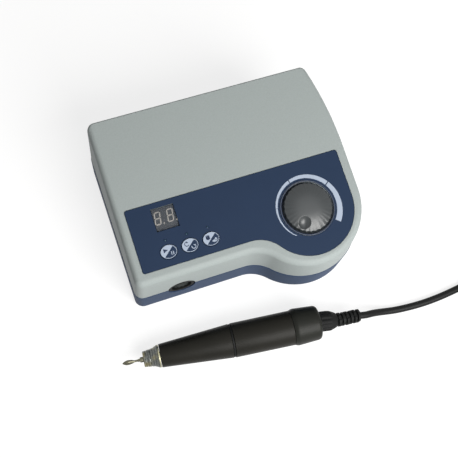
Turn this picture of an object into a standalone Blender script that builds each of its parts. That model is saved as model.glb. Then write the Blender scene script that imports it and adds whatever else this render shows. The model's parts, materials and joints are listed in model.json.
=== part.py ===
"""Dental lab micromotor: a control box, its handpiece, and the handpiece's cord and plug.

Metres, +Z up. +X runs to the right along the front of the box and +Y towards its back.
The box is built from its left front corner, the panel's pieces on a frame that leans
with the sloped top, and the handpiece from the front of its nose along its own axis.
Everything hangs from one empty, which at the end puts the origin under the middle of
the box and the handpiece, on the surface that they stand on.
"""

import math

import bmesh
import bpy
from mathutils import Matrix, Vector

# Gaps and cuts
GAP = 0.0003
RUNNING_CLEARANCE = 0.0004
CUT_OVERRUN = 0.004

# Control box, measured from the underside of its base shell
BOX_WIDTH = 0.1858
BOX_DEPTH = 0.1268
BOX_LEFT = -0.0009
BOX_FRONT = -0.0008
BOW_START = 0.0585
BOW_RADIUS = 0.252
LOBE_RADIUS = 0.0474
LOBE_CENTRE_Y = 0.0239
WAIST_RADIUS = 0.0256
CORNER_RADIUS = 0.007
LEAST_CORNER_RADIUS = 0.001
SHELL_WALL = 0.0024
PARTING_HEIGHT = 0.0251
TOP_FRONT_HEIGHT = 0.0543
TOP_SLOPE_DEG = 9.8
SIDE_DRAFT = 0.0015
BACK_DRAFT = 0.0005
TOP_EDGE_ROUND = 0.0045
BACK_EDGE_ROUND = 0.002
TOP_STEP = 0.0003
BASE_TUCK = 0.0002
BASE_EDGE_ROUND = 0.0008
LIP_HEIGHT = 0.002
LIP_THICKNESS = 0.0012
FLOOR_THICKNESS = 0.0026

# Feet and the four case screws
FOOT_HEIGHT = 0.003
FOOT_RADIUS = 0.006
FOOT_EDGE_ROUND = 0.0008
FOOT_INSET = 0.019
CASE_POST_RADIUS = 0.0042
CASE_POST_INSET = 0.0115
CASE_POST_RIGHT_Y = 0.036
CASE_POST_BACK_RIGHT_INSET = 0.0179
CASE_SCREW_RADIUS = 0.0014
CASE_SCREW_HEAD_RADIUS = 0.0029
CASE_SCREW_HEAD_HEIGHT = 0.0022
CASE_SCREW_RECESS = 0.009
CASE_SCREW_REACH = 0.009

# Navy panel on the sloped top, measured along the slope
PANEL_LEFT = 0.0083
PANEL_FRONT = 0.0091
PANEL_BACK = 0.0571
PANEL_LOBE_RADIUS = 0.0362
PANEL_WAIST_RADIUS = 0.026
PANEL_CORNER_RADIUS = 0.0018
PANEL_THICKNESS = 0.0009
PANEL_RECESS = 0.0011

# Speed dial and its potentiometer
DIAL_FROM_RIGHT = 0.0456
DIAL_ALONG = 0.0204
KNOB_BASE_RADIUS = 0.0194
KNOB_TOP_RADIUS = 0.0183
KNOB_HEIGHT = 0.0068
KNOB_DOME = 0.0009
KNOB_EDGE_ROUND = 0.0011
KNOB_GRIP_COUNT = 30
KNOB_GRIP_DEPTH = 0.0003
KNOB_CAVITY_RADIUS = 0.0078
KNOB_CAVITY_DEPTH = 0.0024
DIMPLE_RADIUS = 0.0046
DIMPLE_PLACE_RADIUS = 0.0119
DIMPLE_DEPTH = 0.0016
DIMPLE_ANGLE_DEG = 239.0
DIMPLE_OVERRUN_SHARE = 1.3
BEZEL_RADIUS = 0.0211
BEZEL_WIDTH = 0.0009
BEZEL_PROUD = 0.0008
DIAL_SHAFT_RADIUS = 0.003
DIAL_SHAFT_REACH = 0.0042
DIAL_SHAFT_LENGTH = 0.0165
POT_BUSHING_RADIUS = 0.0041
POT_BUSHING_PROUD = 0.0012
POT_BODY_RADIUS = 0.0115
POT_BODY_DEPTH = 0.0095

# Display, buttons and indicators
DISPLAY_X = 0.0356
DISPLAY_ALONG = 0.0442
WINDOW_SIDE = 0.0168
MODULE_SIDE = 0.0158
MODULE_DEPTH = 0.0085
DIGIT_PITCH = 0.0085
DIGIT_WIDTH = 0.0052
DIGIT_HEIGHT = 0.0102
DIGIT_SLANT_DEG = 8.0
SEGMENT_WIDTH = 0.0011
SEGMENT_THICKNESS = 0.00025
SEGMENT_GAP = 0.00025
DECIMAL_DOT_RADIUS = 0.0006
BUTTON_FIRST_X = 0.0307
BUTTON_PITCH = 0.01625
BUTTON_ALONG = 0.0194
BUTTON_HALF_WIDTH = 0.0064
BUTTON_HALF_DEPTH = 0.0053
BUTTON_PROUD = 0.0006
BUTTON_EDGE_ROUND = 0.0004
BUTTON_FLANGE_WIDTH = 0.0011
BUTTON_FLANGE_THICKNESS = 0.001
BUTTON_STEM_RADIUS = 0.0015
BUTTON_TRAVEL = 0.0005
INDICATOR_AHEAD = 0.0089
INDICATOR_RADIUS = 0.0011

# Board behind the panel, measured along the slope
PANEL_BOARD_LEFT = 0.017
PANEL_BOARD_WIDTH = 0.063
PANEL_BOARD_FRONT = 0.0095
PANEL_BOARD_DEPTH = 0.0465
PANEL_BOARD_BELOW = 0.0125
BOARD_THICKNESS = 0.0016
PANEL_POST_INSET = 0.0032
PANEL_POST_RADIUS = 0.0026
SWITCH_SIDE = 0.006
SWITCH_PLUNGER_SIDE = 0.0032
SWITCH_PLUNGER_HEIGHT = 0.001

# Handpiece socket in the front wall
SOCKET_X = 0.035
SOCKET_RADIUS = 0.0104
SOCKET_SETBACK = 0.0006
SOCKET_LENGTH = 0.0145
SOCKET_FLANGE_RADIUS = 0.013
SOCKET_FLANGE_BACK = 0.0055
SOCKET_FLANGE_THICKNESS = 0.002
SOCKET_WELL_RADIUS = 0.0078
SOCKET_WELL_DEPTH = 0.0055
SOCKET_RIM_ROUND = 0.0008
CONTACT_COUNT = 5
CONTACT_CIRCLE_RADIUS = 0.0042
CONTACT_SPREAD_DEG = 45.0
CONTACT_HOLE_RADIUS = 0.0011
CONTACT_HOLE_DEPTH = 0.0065

# Rear panel with the mains inlet, power rocker, fuse and pedal jack
REAR_OPENING_LEFT = 0.032
REAR_OPENING_RIGHT = 0.0328
REAR_OPENING_ABOVE_PARTING = 0.0054
REAR_OPENING_HEIGHT_SHARE = 0.716
REAR_PANEL_MARGIN = 0.0085
REAR_PANEL_BELOW = 0.0025
REAR_PANEL_THICKNESS = 0.002
FITTINGS_HEIGHT_SHARE = 0.4923
INLET_PLACE_SHARE = 0.1777
INLET_WIDTH = 0.0272
INLET_HEIGHT = 0.0198
INLET_DEPTH = 0.017
INLET_FLANGE_WIDTH = 0.0018
INLET_FLANGE_THICKNESS = 0.0018
INLET_WALL = 0.0014
INLET_CHAMFER = 0.004
INLET_PIN_SPACING = 0.014
INLET_PIN_OFFSET = 0.002
INLET_PIN_THICKNESS = 0.002
INLET_PIN_HEIGHT = 0.004
INLET_PIN_SETBACK = 0.0025
INLET_TAB_LENGTH = 0.006
ROCKER_PLACE_SHARE = 0.4504
ROCKER_WELL_WIDTH = 0.0098
ROCKER_WELL_HEIGHT = 0.0166
ROCKER_WALL = 0.0014
ROCKER_FLANGE_WIDTH = 0.0012
ROCKER_HOUSING_DEPTH = 0.013
ROCKER_PIVOT_DEPTH = 0.0015
ROCKER_PROUD = 0.0032
ROCKER_HALF_TILT_DEG = 10.0
ROCKER_DEPTH = 0.0032
ROCKER_END_CLEARANCE = 0.0012
FUSE_PLACE_SHARE = 0.657
FUSE_BODY_RADIUS = 0.0062
FUSE_FLANGE_RADIUS = 0.0085
FUSE_FLANGE_THICKNESS = 0.0016
FUSE_BODY_LENGTH = 0.026
FUSE_CAP_RADIUS = 0.0062
FUSE_CAP_HEIGHT = 0.0045
FUSE_SLOT_WIDTH = 0.0014
FUSE_SLOT_DEPTH = 0.0012
PEDAL_PLACE_SHARE = 0.8554
PEDAL_BUSHING_RADIUS = 0.0047
PEDAL_NUT_RADIUS = 0.0068
PEDAL_NUT_HEIGHT = 0.002
PEDAL_BODY_LENGTH = 0.018
PEDAL_BORE_RADIUS = 0.0033
PEDAL_BORE_DEPTH = 0.015
PEDAL_STANDOFF = 0.001

# Moulded pins that pass through the boards, the rear panel and the strap's feet, and are staked over
STAKE_RADIUS = 0.0012
STAKE_PROUD = 0.0009
REAR_STAKE_SPACING = 0.02

# Transformer on the base
CORE_PLACE_SHARE = 0.27027
CORE_WIDTH_SHARE = 0.308108
CORE_DEPTH_SHARE = 0.192
CORE_HEADROOM = 0.01212
CORE_LEG = 0.0095
COIL_OVERHANG_SHARE = 0.068
INLET_TAB_CLEARANCE = 0.0048
BRACKET_THICKNESS = 0.0012
BRACKET_WIDTH = 0.016
BRACKET_FOOT = 0.0085
BRACKET_PAD_RADIUS = 0.0045
BRACKET_PAD_HEIGHT = 0.0066

# Main board on the base
MAIN_BOARD_LEFT_SHARE = 0.508108
MAIN_BOARD_FRONT_SHARE = 0.4
MAIN_BOARD_WIDTH_SHARE = 0.378378
MAIN_BOARD_DEPTH_SHARE = 0.416
MAIN_BOARD_POST_HEIGHT = 0.006
MAIN_BOARD_POST_RADIUS = 0.003
MAIN_BOARD_POST_INSET = 0.004
CAPACITOR_RADIUS = 0.0075
CAPACITOR_HEIGHT = 0.026
CAPACITOR_PITCH = 0.018
CAPACITOR_EDGE_ROUND = 0.001
HEAT_SINK_MARGIN = 0.0075
HEAT_SINK_DEPTH = 0.012
HEAT_SINK_HEIGHT = 0.026
HEAT_SINK_WEB = 0.003
HEAT_SINK_FIN = 0.0014
HEAT_SINK_FIN_COUNT = 7

# Handpiece: lengths from the front of the nose, along its axis
HAND_NOSE_X = -0.0084
HAND_NOSE_Y = -0.0412
HAND_YAW_DEG = -6.69
NOSE_FACE_RADIUS = 0.0059
NOSE_NECK_RADIUS = 0.007
NOSE_FLARE_RADIUS = 0.0087
NOSE_NECK_END = 0.0079
NOSE_LENGTH = 0.0126
NOSE_EDGE_ROUND = 0.0007
NOSE_BORE_RADIUS = 0.0031
SLEEVE_FRONT_RADIUS = 0.0089
SLEEVE_REAR_RADIUS = 0.013
SLEEVE_LENGTH = 0.0545
SLEEVE_WALL = 0.0017
JOINT_RING_LENGTH = 0.0013
JOINT_RING_RADIUS = 0.0127
CASE_FRONT_RADIUS = 0.0132
CASE_REAR_RADIUS = 0.0134
CASE_END = 0.1155
CASE_EDGE_ROUND = 0.0006
CAP_FRONT_RADIUS = 0.0144
CAP_FLARE_LENGTH = 0.0026
CAP_REAR_RADIUS = 0.0132
CAP_END = 0.1375
CAP_ROUND = 0.0035
CAP_WALL = 0.0018
CAP_FACE_THICKNESS = 0.003
HOUSING_WALL = 0.0013
HOUSING_RADIUS = 0.0068
SPINDLE_RADIUS = 0.0035
SPINDLE_BORE_RADIUS = 0.0024
SPINDLE_SETBACK = 0.0022
SPINDLE_BEARING_LENGTH = 0.005
SPINDLE_BEARING_FRONT = 0.016
SPINDLE_BEARING_REAR = 0.046
SPINDLE_LENGTH = 0.055
COLLET_RADIUS = 0.00205
COLLET_NOSE = 0.0026
COLLET_LENGTH = 0.028
COLLET_EDGE_ROUND = 0.0004
COLLET_SLOT = 0.0004
COLLET_SLOT_LENGTH = 0.009
COUPLING_RADIUS = 0.0045
COUPLING_LENGTH = 0.0085
MOTOR_SHAFT_RADIUS = 0.002
MOTOR_FRONT = 0.076
MAGNET_LENGTH = 0.026
MAGNET_OUTER_RADIUS = 0.0106
MAGNET_INNER_RADIUS = 0.0083
ROTOR_RADIUS = 0.0077
ROTOR_LENGTH = 0.023
ROTOR_SLOT_COUNT = 7
ROTOR_SLOT_WIDTH = 0.0016
ROTOR_SLOT_DEPTH = 0.003
WINDING_LENGTH = 0.003
WINDING_RADIUS = 0.0068
WINDING_INNER_RADIUS = 0.0034
COMMUTATOR_RADIUS = 0.0042
COMMUTATOR_LENGTH = 0.006
BRUSH_RING_OUTER_RADIUS = 0.0108
BRUSH_RING_INNER_RADIUS = 0.0082
BRUSH_WIDTH = 0.0032
BRUSH_LENGTH = 0.0046
FAN_RADIUS = 0.0095
FAN_HUB_RADIUS = 0.0034
FAN_LENGTH = 0.0045
FAN_BLADE_COUNT = 8
FAN_BLADE_THICKNESS = 0.0009
MOTOR_BEARING_LENGTH = 0.004
MOTOR_BEARING_RADIUS = 0.0058
MOTOR_END_PLATE = 0.003
MOTOR_STEP = 0.0006

# Bur in the collet
BUR_SHANK_RADIUS = 0.001175
BUR_SHANK_REACH = 0.022
BUR_NECK_RADIUS = 0.0008
BUR_HEAD_RADIUS = 0.0019
BUR_HEAD_LENGTH = 0.0112
BUR_TIP_RADIUS = 0.00015
BUR_TIP_REACH = 0.0161

# Strain relief on the rear cap
RELIEF_PLUG_RADIUS = 0.006
RELIEF_GRIP_RADIUS = 0.008
RELIEF_GRIP_LENGTH = 0.0086
RELIEF_NECK_RADIUS = 0.0046
RELIEF_TAPER_LENGTH = 0.0059
RELIEF_RIB_RADIUS = 0.0054
RELIEF_RIB_COUNT = 6
RELIEF_RIB_PITCH = 0.00315
RELIEF_DROOP = 0.0037
RELIEF_SWAY = 0.001
RELIEF_BOW = 0.001

# Cord: its route runs from the strain relief to the coil, along the surface
CORD_RADIUS = 0.0028
CORD_ROUTE = [
    (0.1736, -0.0634, 0.0087),
    (0.1793, -0.0639, 0.0064),
    (0.1850, -0.0647, 0.0047),
    (0.1900, -0.0655, 0.0037),
    (0.1950, -0.0662, 0.0032),
    (0.2060, -0.0673, 0.0030),
    (0.2200, -0.0679, 0.0030),
    (0.2350, -0.0674, 0.0030),
    (0.2500, -0.0660, 0.0030),
    (0.2650, -0.0642, 0.0030),
]
CORD_POINT_COUNT = 46
COIL_CENTRE_X = 0.2865
COIL_CENTRE_Y = -0.1025
COIL_MEAN_RADIUS = 0.0292
COIL_TURNS_PITCH = 0.0072
COIL_LAYER_PITCH = 0.0066
COIL_TURNS = 6.25
COIL_EASE_TURNS = 0.25
COIL_STEP_OUT = 0.005
COIL_START_DEG = 94.0
COIL_POINTS_A_TURN = 24
COIL_FLOOR_GAP = 0.0001
COIL_LEAD_OUT = 0.0195

# Plug on the cord's far end, lying on the surface
PLUG_RELIEF_RADIUS = 0.0046
PLUG_RELIEF_LENGTH = 0.011
PLUG_GRIP_RADIUS = 0.0078
PLUG_GRIP_LENGTH = 0.02
PLUG_GRIP_ROUND = 0.0012
PLUG_SHELL_RADIUS = 0.0067
PLUG_SHELL_LENGTH = 0.0115
PLUG_SHELL_WALL = 0.0006
PLUG_PIN_RADIUS = 0.0007
PLUG_PIN_LENGTH = 0.0085

# Sides of turned pieces, by size
FINE_SIDES = 36
HAND_SIDES = 24
MEDIUM_SIDES = 24
INNER_SIDES = 16
SMALL_SIDES = 10

TOP_SLOPE = math.radians(TOP_SLOPE_DEG)
CORNER_NAMES = ("front_left", "front_right", "back_right", "back_left")
HOUSING_END = NOSE_LENGTH + GAP + SLEEVE_LENGTH + GAP + JOINT_RING_LENGTH
CASE_FRONT = HOUSING_END + GAP
CAP_FRONT = CASE_END + GAP

# Places and sizes that follow from the box's own
DIAL_X = BOX_WIDTH - DIAL_FROM_RIGHT
BACK_WALL_INSIDE = BOX_DEPTH - SHELL_WALL - BACK_DRAFT - GAP
REAR_OPENING_WIDTH = BOX_WIDTH - REAR_OPENING_LEFT - REAR_OPENING_RIGHT
REAR_OPENING_BOTTOM = PARTING_HEIGHT + REAR_OPENING_ABOVE_PARTING
BACK_WALL_TOP = TOP_FRONT_HEIGHT + BOX_DEPTH * math.tan(TOP_SLOPE)
REAR_OPENING_HEIGHT = (BACK_WALL_TOP - REAR_OPENING_BOTTOM) * REAR_OPENING_HEIGHT_SHARE
FITTINGS_HEIGHT = REAR_OPENING_BOTTOM + REAR_OPENING_HEIGHT * FITTINGS_HEIGHT_SHARE
INLET_X = REAR_OPENING_LEFT + REAR_OPENING_WIDTH * INLET_PLACE_SHARE
ROCKER_X = REAR_OPENING_LEFT + REAR_OPENING_WIDTH * ROCKER_PLACE_SHARE
FUSE_X = REAR_OPENING_LEFT + REAR_OPENING_WIDTH * FUSE_PLACE_SHARE
PEDAL_X = REAR_OPENING_LEFT + REAR_OPENING_WIDTH * PEDAL_PLACE_SHARE
CORE_X = BOX_WIDTH * CORE_PLACE_SHARE
CORE_WIDTH = BOX_WIDTH * CORE_WIDTH_SHARE
CORE_DEPTH = BOX_DEPTH * CORE_DEPTH_SHARE
COIL_OVERHANG = BOX_DEPTH * COIL_OVERHANG_SHARE
COIL_BACK = BACK_WALL_INSIDE - INLET_DEPTH - INLET_TAB_LENGTH - INLET_TAB_CLEARANCE
CORE_Y = COIL_BACK - COIL_OVERHANG - CORE_DEPTH / 2
CORE_ROOF = TOP_FRONT_HEIGHT + (CORE_Y - CORE_DEPTH / 2) * math.tan(TOP_SLOPE) - SHELL_WALL
CORE_HEIGHT = CORE_ROOF - CORE_HEADROOM - FLOOR_THICKNESS - GAP
MAIN_BOARD_LEFT = BOX_WIDTH * MAIN_BOARD_LEFT_SHARE
MAIN_BOARD_WIDTH = BOX_WIDTH * MAIN_BOARD_WIDTH_SHARE
MAIN_BOARD_FRONT = BOX_DEPTH * MAIN_BOARD_FRONT_SHARE
MAIN_BOARD_DEPTH = BOX_DEPTH * MAIN_BOARD_DEPTH_SHARE
RELIEF_RIBS_LENGTH = RELIEF_RIB_COUNT * RELIEF_RIB_PITCH
RELIEF_LENGTH = RELIEF_GRIP_LENGTH + RELIEF_TAPER_LENGTH + RELIEF_RIBS_LENGTH

FINISHES = {
    "grey_plastic": ((0.56, 0.59, 0.56), 0.45, 0.0),
    "blue_plastic": ((0.09, 0.13, 0.30), 0.4, 0.0),
    "navy_panel": ((0.035, 0.06, 0.15), 0.35, 0.0),
    "dark_plastic": ((0.06, 0.065, 0.065), 0.4, 0.0),
    "black_plastic": ((0.015, 0.015, 0.016), 0.5, 0.0),
    "black_rubber": ((0.02, 0.02, 0.02), 0.75, 0.0),
    "smoked_window": ((0.06, 0.055, 0.03), 0.15, 0.0),
    "pale_segment": ((0.7, 0.65, 0.5), 0.4, 0.0),
    "white_print": ((0.75, 0.78, 0.82), 0.45, 0.0),
    "steel": ((0.62, 0.61, 0.55), 0.25, 1.0),
    "brass": ((0.7, 0.55, 0.25), 0.3, 1.0),
    "copper": ((0.72, 0.38, 0.2), 0.35, 1.0),
    "aluminium": ((0.7, 0.7, 0.7), 0.35, 1.0),
    "magnet": ((0.1, 0.1, 0.1), 0.6, 0.3),
    "board_green": ((0.03, 0.18, 0.07), 0.45, 0.0),
}


def clear_scene():
    for obj in list(bpy.data.objects):
        bpy.data.objects.remove(obj, do_unlink=True)


def new_material(name, finish):
    colour, roughness, metallic = FINISHES[finish]
    material = bpy.data.materials.new(name)
    material.use_nodes = True
    shader = material.node_tree.nodes["Principled BSDF"]
    shader.inputs["Base Color"].default_value = (*colour, 1.0)
    shader.inputs["Roughness"].default_value = roughness
    shader.inputs["Metallic"].default_value = metallic
    material.diffuse_color = (*colour, 1.0)
    return material


def new_frame(name, parent=None, place=(0, 0, 0), turn=None):
    """An empty that carries pieces: placed and turned in its parent's frame."""
    frame = bpy.data.objects.new(name, None)
    frame.parent = parent
    frame.matrix_local = Matrix.Translation(place) @ (turn or Matrix()).to_4x4()
    bpy.context.scene.collection.objects.link(frame)
    return frame


def loft_into(mesh, rings, bored=False):
    """Adds one closed body: rings of equal length, each joined to the next.

    A ring of one point is a pole. A bored body joins its last ring to its first;
    any other body gets a flat cap on each end ring.
    """
    rows = [[mesh.verts.new(point) for point in ring] for ring in rings]
    faces = []
    pairs = list(zip(rows, rows[1:]))
    if bored:
        pairs.append((rows[-1], rows[0]))
    for lower, upper in pairs:
        count = max(len(lower), len(upper))
        for i in range(count):
            j = (i + 1) % count
            ends = [lower[i % len(lower)], lower[j % len(lower)]]
            ends += [upper[j % len(upper)], upper[i % len(upper)]]
            faces.append(mesh.faces.new(dict.fromkeys(ends)))
    if not bored:
        for row in (rows[0], rows[-1]):
            if len(row) > 2:
                faces.append(mesh.faces.new(row))
    bmesh.ops.recalc_face_normals(mesh, faces=faces)


def shape(name, bodies, parent, finish, place, turn, smooth_deg):
    """One object made of closed bodies, each a list of rings, or a pair with its bored flag."""
    mesh = bmesh.new()
    for body in bodies:
        rings, bored = body if isinstance(body, tuple) else (body, False)
        loft_into(mesh, rings, bored)
    data = bpy.data.meshes.new(name)
    mesh.to_mesh(data)
    mesh.free()
    if smooth_deg:
        data.shade_smooth()
        data.set_sharp_from_angle(angle=math.radians(smooth_deg))
    obj = bpy.data.objects.new(name, data)
    obj.parent = parent
    obj.matrix_local = Matrix.Translation(place) @ (turn or Matrix()).to_4x4()
    bpy.context.scene.collection.objects.link(obj)
    if finish:
        data.materials.append(new_material(name, finish))
    return obj


def piece(name, body, parent, finish, place=(0, 0, 0), turn=None, smooth_deg=35.0):
    """A piece of the product: one body."""
    return shape(name, [body], parent, finish, place, turn, smooth_deg)


def hidden(name, bodies, parent, place=(0, 0, 0), turn=None):
    """Shapes that are cut from a piece or joined onto it: never a piece themselves."""
    obj = shape(name, bodies, parent, None, place, turn, None)
    obj.hide_render = True
    obj.display_type = "WIRE"
    return obj


def combine(obj, other, operation):
    modifier = obj.modifiers.new(other.name, "BOOLEAN")
    modifier.operation = operation
    modifier.solver = "EXACT"
    modifier.object = other


def cut(obj, *cutters):
    for cutter in cutters:
        combine(obj, cutter, "DIFFERENCE")


def add_on(obj, *others):
    for other in others:
        combine(obj, other, "UNION")


def circle(radius, height, sides, centre=(0, 0), start_deg=0.0):
    """A ring of points round the Z axis, or its one point where the radius is zero."""
    if radius == 0:
        return [(centre[0], centre[1], height)]
    step = math.tau / sides
    first = math.radians(start_deg)
    angles = [first + i * step for i in range(sides)]
    return [(centre[0] + radius * math.cos(a), centre[1] + radius * math.sin(a), height) for a in angles]


def turned(profile, sides, centre=(0, 0), start_deg=0.0):
    """Rings of a body turned round Z: the profile is a list of (height, radius)."""
    return [circle(radius, height, sides, centre, start_deg) for height, radius in profile]


def rod(low, high, radius, sides, centre=(0, 0)):
    return turned([(low, radius), (high, radius)], sides, centre)


def tube(low, high, inner, outer, sides, centre=(0, 0)):
    """A bored body: a ring or pipe round Z, with its flag for piece()."""
    return turned([(low, outer), (high, outer), (high, inner), (low, inner)], sides, centre), True


def staked_post(low, high, radius, plate, centre):
    """A post whose pin passes through a plate that rests on it and stands a little proud of the plate."""
    tip = high + GAP + plate + STAKE_PROUD
    profile = [(low, radius), (high, radius), (high, STAKE_RADIUS), (tip, STAKE_RADIUS)]
    return turned(profile, SMALL_SIDES, centre)


def block(low, high):
    """A box between two corners, as two rings of four."""
    (x0, y0, z0), (x1, y1, z1) = low, high
    ring = [(x0, y0), (x1, y0), (x1, y1), (x0, y1)]
    return [[(x, y, z) for x, y in ring] for z in (z0, z1)]


def stepped_block(low, high, step_side, step_height):
    """A square block with a smaller square block standing on its middle."""
    (x0, y0, z0), (x1, y1, z1) = low, high
    middle_x = (x0 + x1) / 2
    middle_y = (y0 + y1) / 2
    half = step_side / 2
    near = (middle_x - half, middle_y - half, z1)
    far = (middle_x + half, middle_y + half, z1 + step_height)
    return block(low, high) + block(near, far)


def prism(outline, low, high):
    """An outline of (x, y) points drawn up Z between two heights."""
    return [[(x, y, z) for x, y in outline] for z in (low, high)]


def oval(half_width, half_depth, height, sides, centre):
    x, y = centre
    angles = [math.tau * i / sides for i in range(sides)]
    return [(x + half_width * math.cos(a), y + half_depth * math.sin(a), height) for a in angles]


def arc(centre, radius, first_deg, last_deg, steps):
    """Points on a circle from one angle to another, both ends included."""
    points = []
    for i in range(steps + 1):
        angle = math.radians(first_deg + (last_deg - first_deg) * i / steps)
        points.append((centre[0] + radius * math.cos(angle), centre[1] + radius * math.sin(angle)))
    return points


def corner(x, y, radius, first_deg):
    """A rounded corner whose edges meet at (x, y), starting at this angle and turning by 90 degrees."""
    middle = math.radians(first_deg + 45)
    side_x = math.copysign(radius, -math.cos(middle))
    side_y = math.copysign(radius, -math.sin(middle))
    return arc((x + side_x, y + side_y), radius, first_deg, first_deg + 90, 3)


def bowed_corner(right, far, radius, start, bow_radius):
    """The right side and back corner where the side bows in on a large arc from this start.

    The corner's circle touches the arc from within and the straight back.
    """
    middle_x = right - bow_radius
    rise = far - radius - start
    lean = math.asin(rise / (bow_radius - radius))
    touch = (middle_x + (bow_radius - radius) * math.cos(lean), far - radius)
    side = arc((middle_x, start), bow_radius, 0, math.degrees(lean), 3)
    return side + arc(touch, radius, math.degrees(lean), 90, 2)[1:]


def lobed_outline(
    left, front, back, lobe, lobe_radius, waist_radius, corner_radius, inset, back_inset=None, bow=()
):
    """The plan of the box or panel: a rectangle whose right front corner swells into a round lobe.

    The lobe's circle touches the right side, and a hollow arc joins the straight front
    to the lobe. An inset moves every side inwards by the same amount, so the hollow arc
    grows as the lobe shrinks; the back may have its own. The right side may bow in.
    """
    back_inset = inset if back_inset is None else back_inset
    right = lobe[0] + lobe_radius - inset
    near = front + inset
    far = back - back_inset
    side = left + inset
    radius = max(corner_radius - inset, LEAST_CORNER_RADIUS)
    reach = lobe_radius + waist_radius
    rise = lobe[1] - front + waist_radius
    waist = (lobe[0] - math.sqrt(reach**2 - rise**2), front - waist_radius)
    meeting_deg = math.degrees(math.asin(rise / reach))
    points = corner(side, near, radius, 180)
    points += arc(waist, waist_radius + inset, 90, meeting_deg, 6)
    points += arc(lobe, lobe_radius - inset, 180 + meeting_deg, 360, 17)[1:]
    if not bow:
        points += corner(right, far, radius, 0)
    else:
        points += bowed_corner(right, far, radius, bow[0], bow[1] - inset)
    points += corner(side, far, radius, 90)
    return points


def box_outline(inset=0.0, back_inset=None):
    lobe = (BOX_WIDTH - LOBE_RADIUS, LOBE_CENTRE_Y)
    sizes = (LOBE_RADIUS, WAIST_RADIUS, CORNER_RADIUS, inset, back_inset, (BOW_START, BOW_RADIUS))
    return lobed_outline(BOX_LEFT, BOX_FRONT, BOX_DEPTH, lobe, *sizes)


def panel_outline(inset=0.0):
    lobe = (DIAL_X, DIAL_ALONG)
    sizes = (PANEL_LOBE_RADIUS, PANEL_WAIST_RADIUS, PANEL_CORNER_RADIUS, inset)
    return lobed_outline(PANEL_LEFT, PANEL_FRONT, PANEL_BACK, lobe, *sizes)


def top_height(y):
    return TOP_FRONT_HEIGHT + y * math.tan(TOP_SLOPE)


def level_ring(inset, height):
    return [(x, y, height) for x, y in box_outline(inset)]


def roof_ring(inset, back_inset, drop):
    """A ring that follows the sloped top at some depth below it."""
    return [(x, y, top_height(y) - drop) for x, y in box_outline(inset, back_inset)]


def case_screw_places():
    right = BOX_WIDTH - CASE_POST_INSET
    back = BOX_DEPTH - CASE_POST_INSET
    return [
        (CASE_POST_INSET, CASE_POST_INSET),
        (right, CASE_POST_RIGHT_Y),
        (BOX_WIDTH - CASE_POST_BACK_RIGHT_INSET, back),
        (CASE_POST_INSET, back),
    ]


def panel_board_corners():
    left = PANEL_BOARD_LEFT + PANEL_POST_INSET
    right = PANEL_BOARD_LEFT + PANEL_BOARD_WIDTH - PANEL_POST_INSET
    front = PANEL_BOARD_FRONT + PANEL_POST_INSET
    back = PANEL_BOARD_FRONT + PANEL_BOARD_DEPTH - PANEL_POST_INSET
    return [(left, front), (right, front), (right, back), (left, back)]


def main_board_corners():
    left = MAIN_BOARD_LEFT + MAIN_BOARD_POST_INSET
    right = MAIN_BOARD_LEFT + MAIN_BOARD_WIDTH - MAIN_BOARD_POST_INSET
    front = MAIN_BOARD_FRONT + MAIN_BOARD_POST_INSET
    back = MAIN_BOARD_FRONT + MAIN_BOARD_DEPTH - MAIN_BOARD_POST_INSET
    return [(left, front), (right, front), (right, back), (left, back)]


def strap_foot_places():
    reach = CORE_WIDTH / 2 + GAP + BRACKET_THICKNESS + BRACKET_FOOT / 2
    return [(CORE_X - reach, CORE_Y), (CORE_X + reach, CORE_Y)]


def button_places():
    return [(BUTTON_FIRST_X + i * BUTTON_PITCH, BUTTON_ALONG) for i in range(3)]


def indicator_places():
    return [(x, along + INDICATOR_AHEAD) for x, along in button_places()]


def contact_places():
    """Five contacts on an arc of the plug's circle, open side up."""
    middle = (CONTACT_COUNT - 1) / 2
    places = []
    for i in range(CONTACT_COUNT):
        angle = math.radians(270 + (i - middle) * CONTACT_SPREAD_DEG)
        places.append((CONTACT_CIRCLE_RADIUS * math.cos(angle), CONTACT_CIRCLE_RADIUS * math.sin(angle)))
    return places


def outward_turn():
    """Turns a piece made round +Z so that its +Z looks out of the front wall."""
    return Matrix.Rotation(math.radians(90), 3, "X")


def rearward_turn():
    """Turns a piece made round +Z so that its +Z looks out of the back and its +Y up."""
    return Matrix.Rotation(math.radians(180), 3, "Z") @ Matrix.Rotation(math.radians(90), 3, "X")


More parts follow.
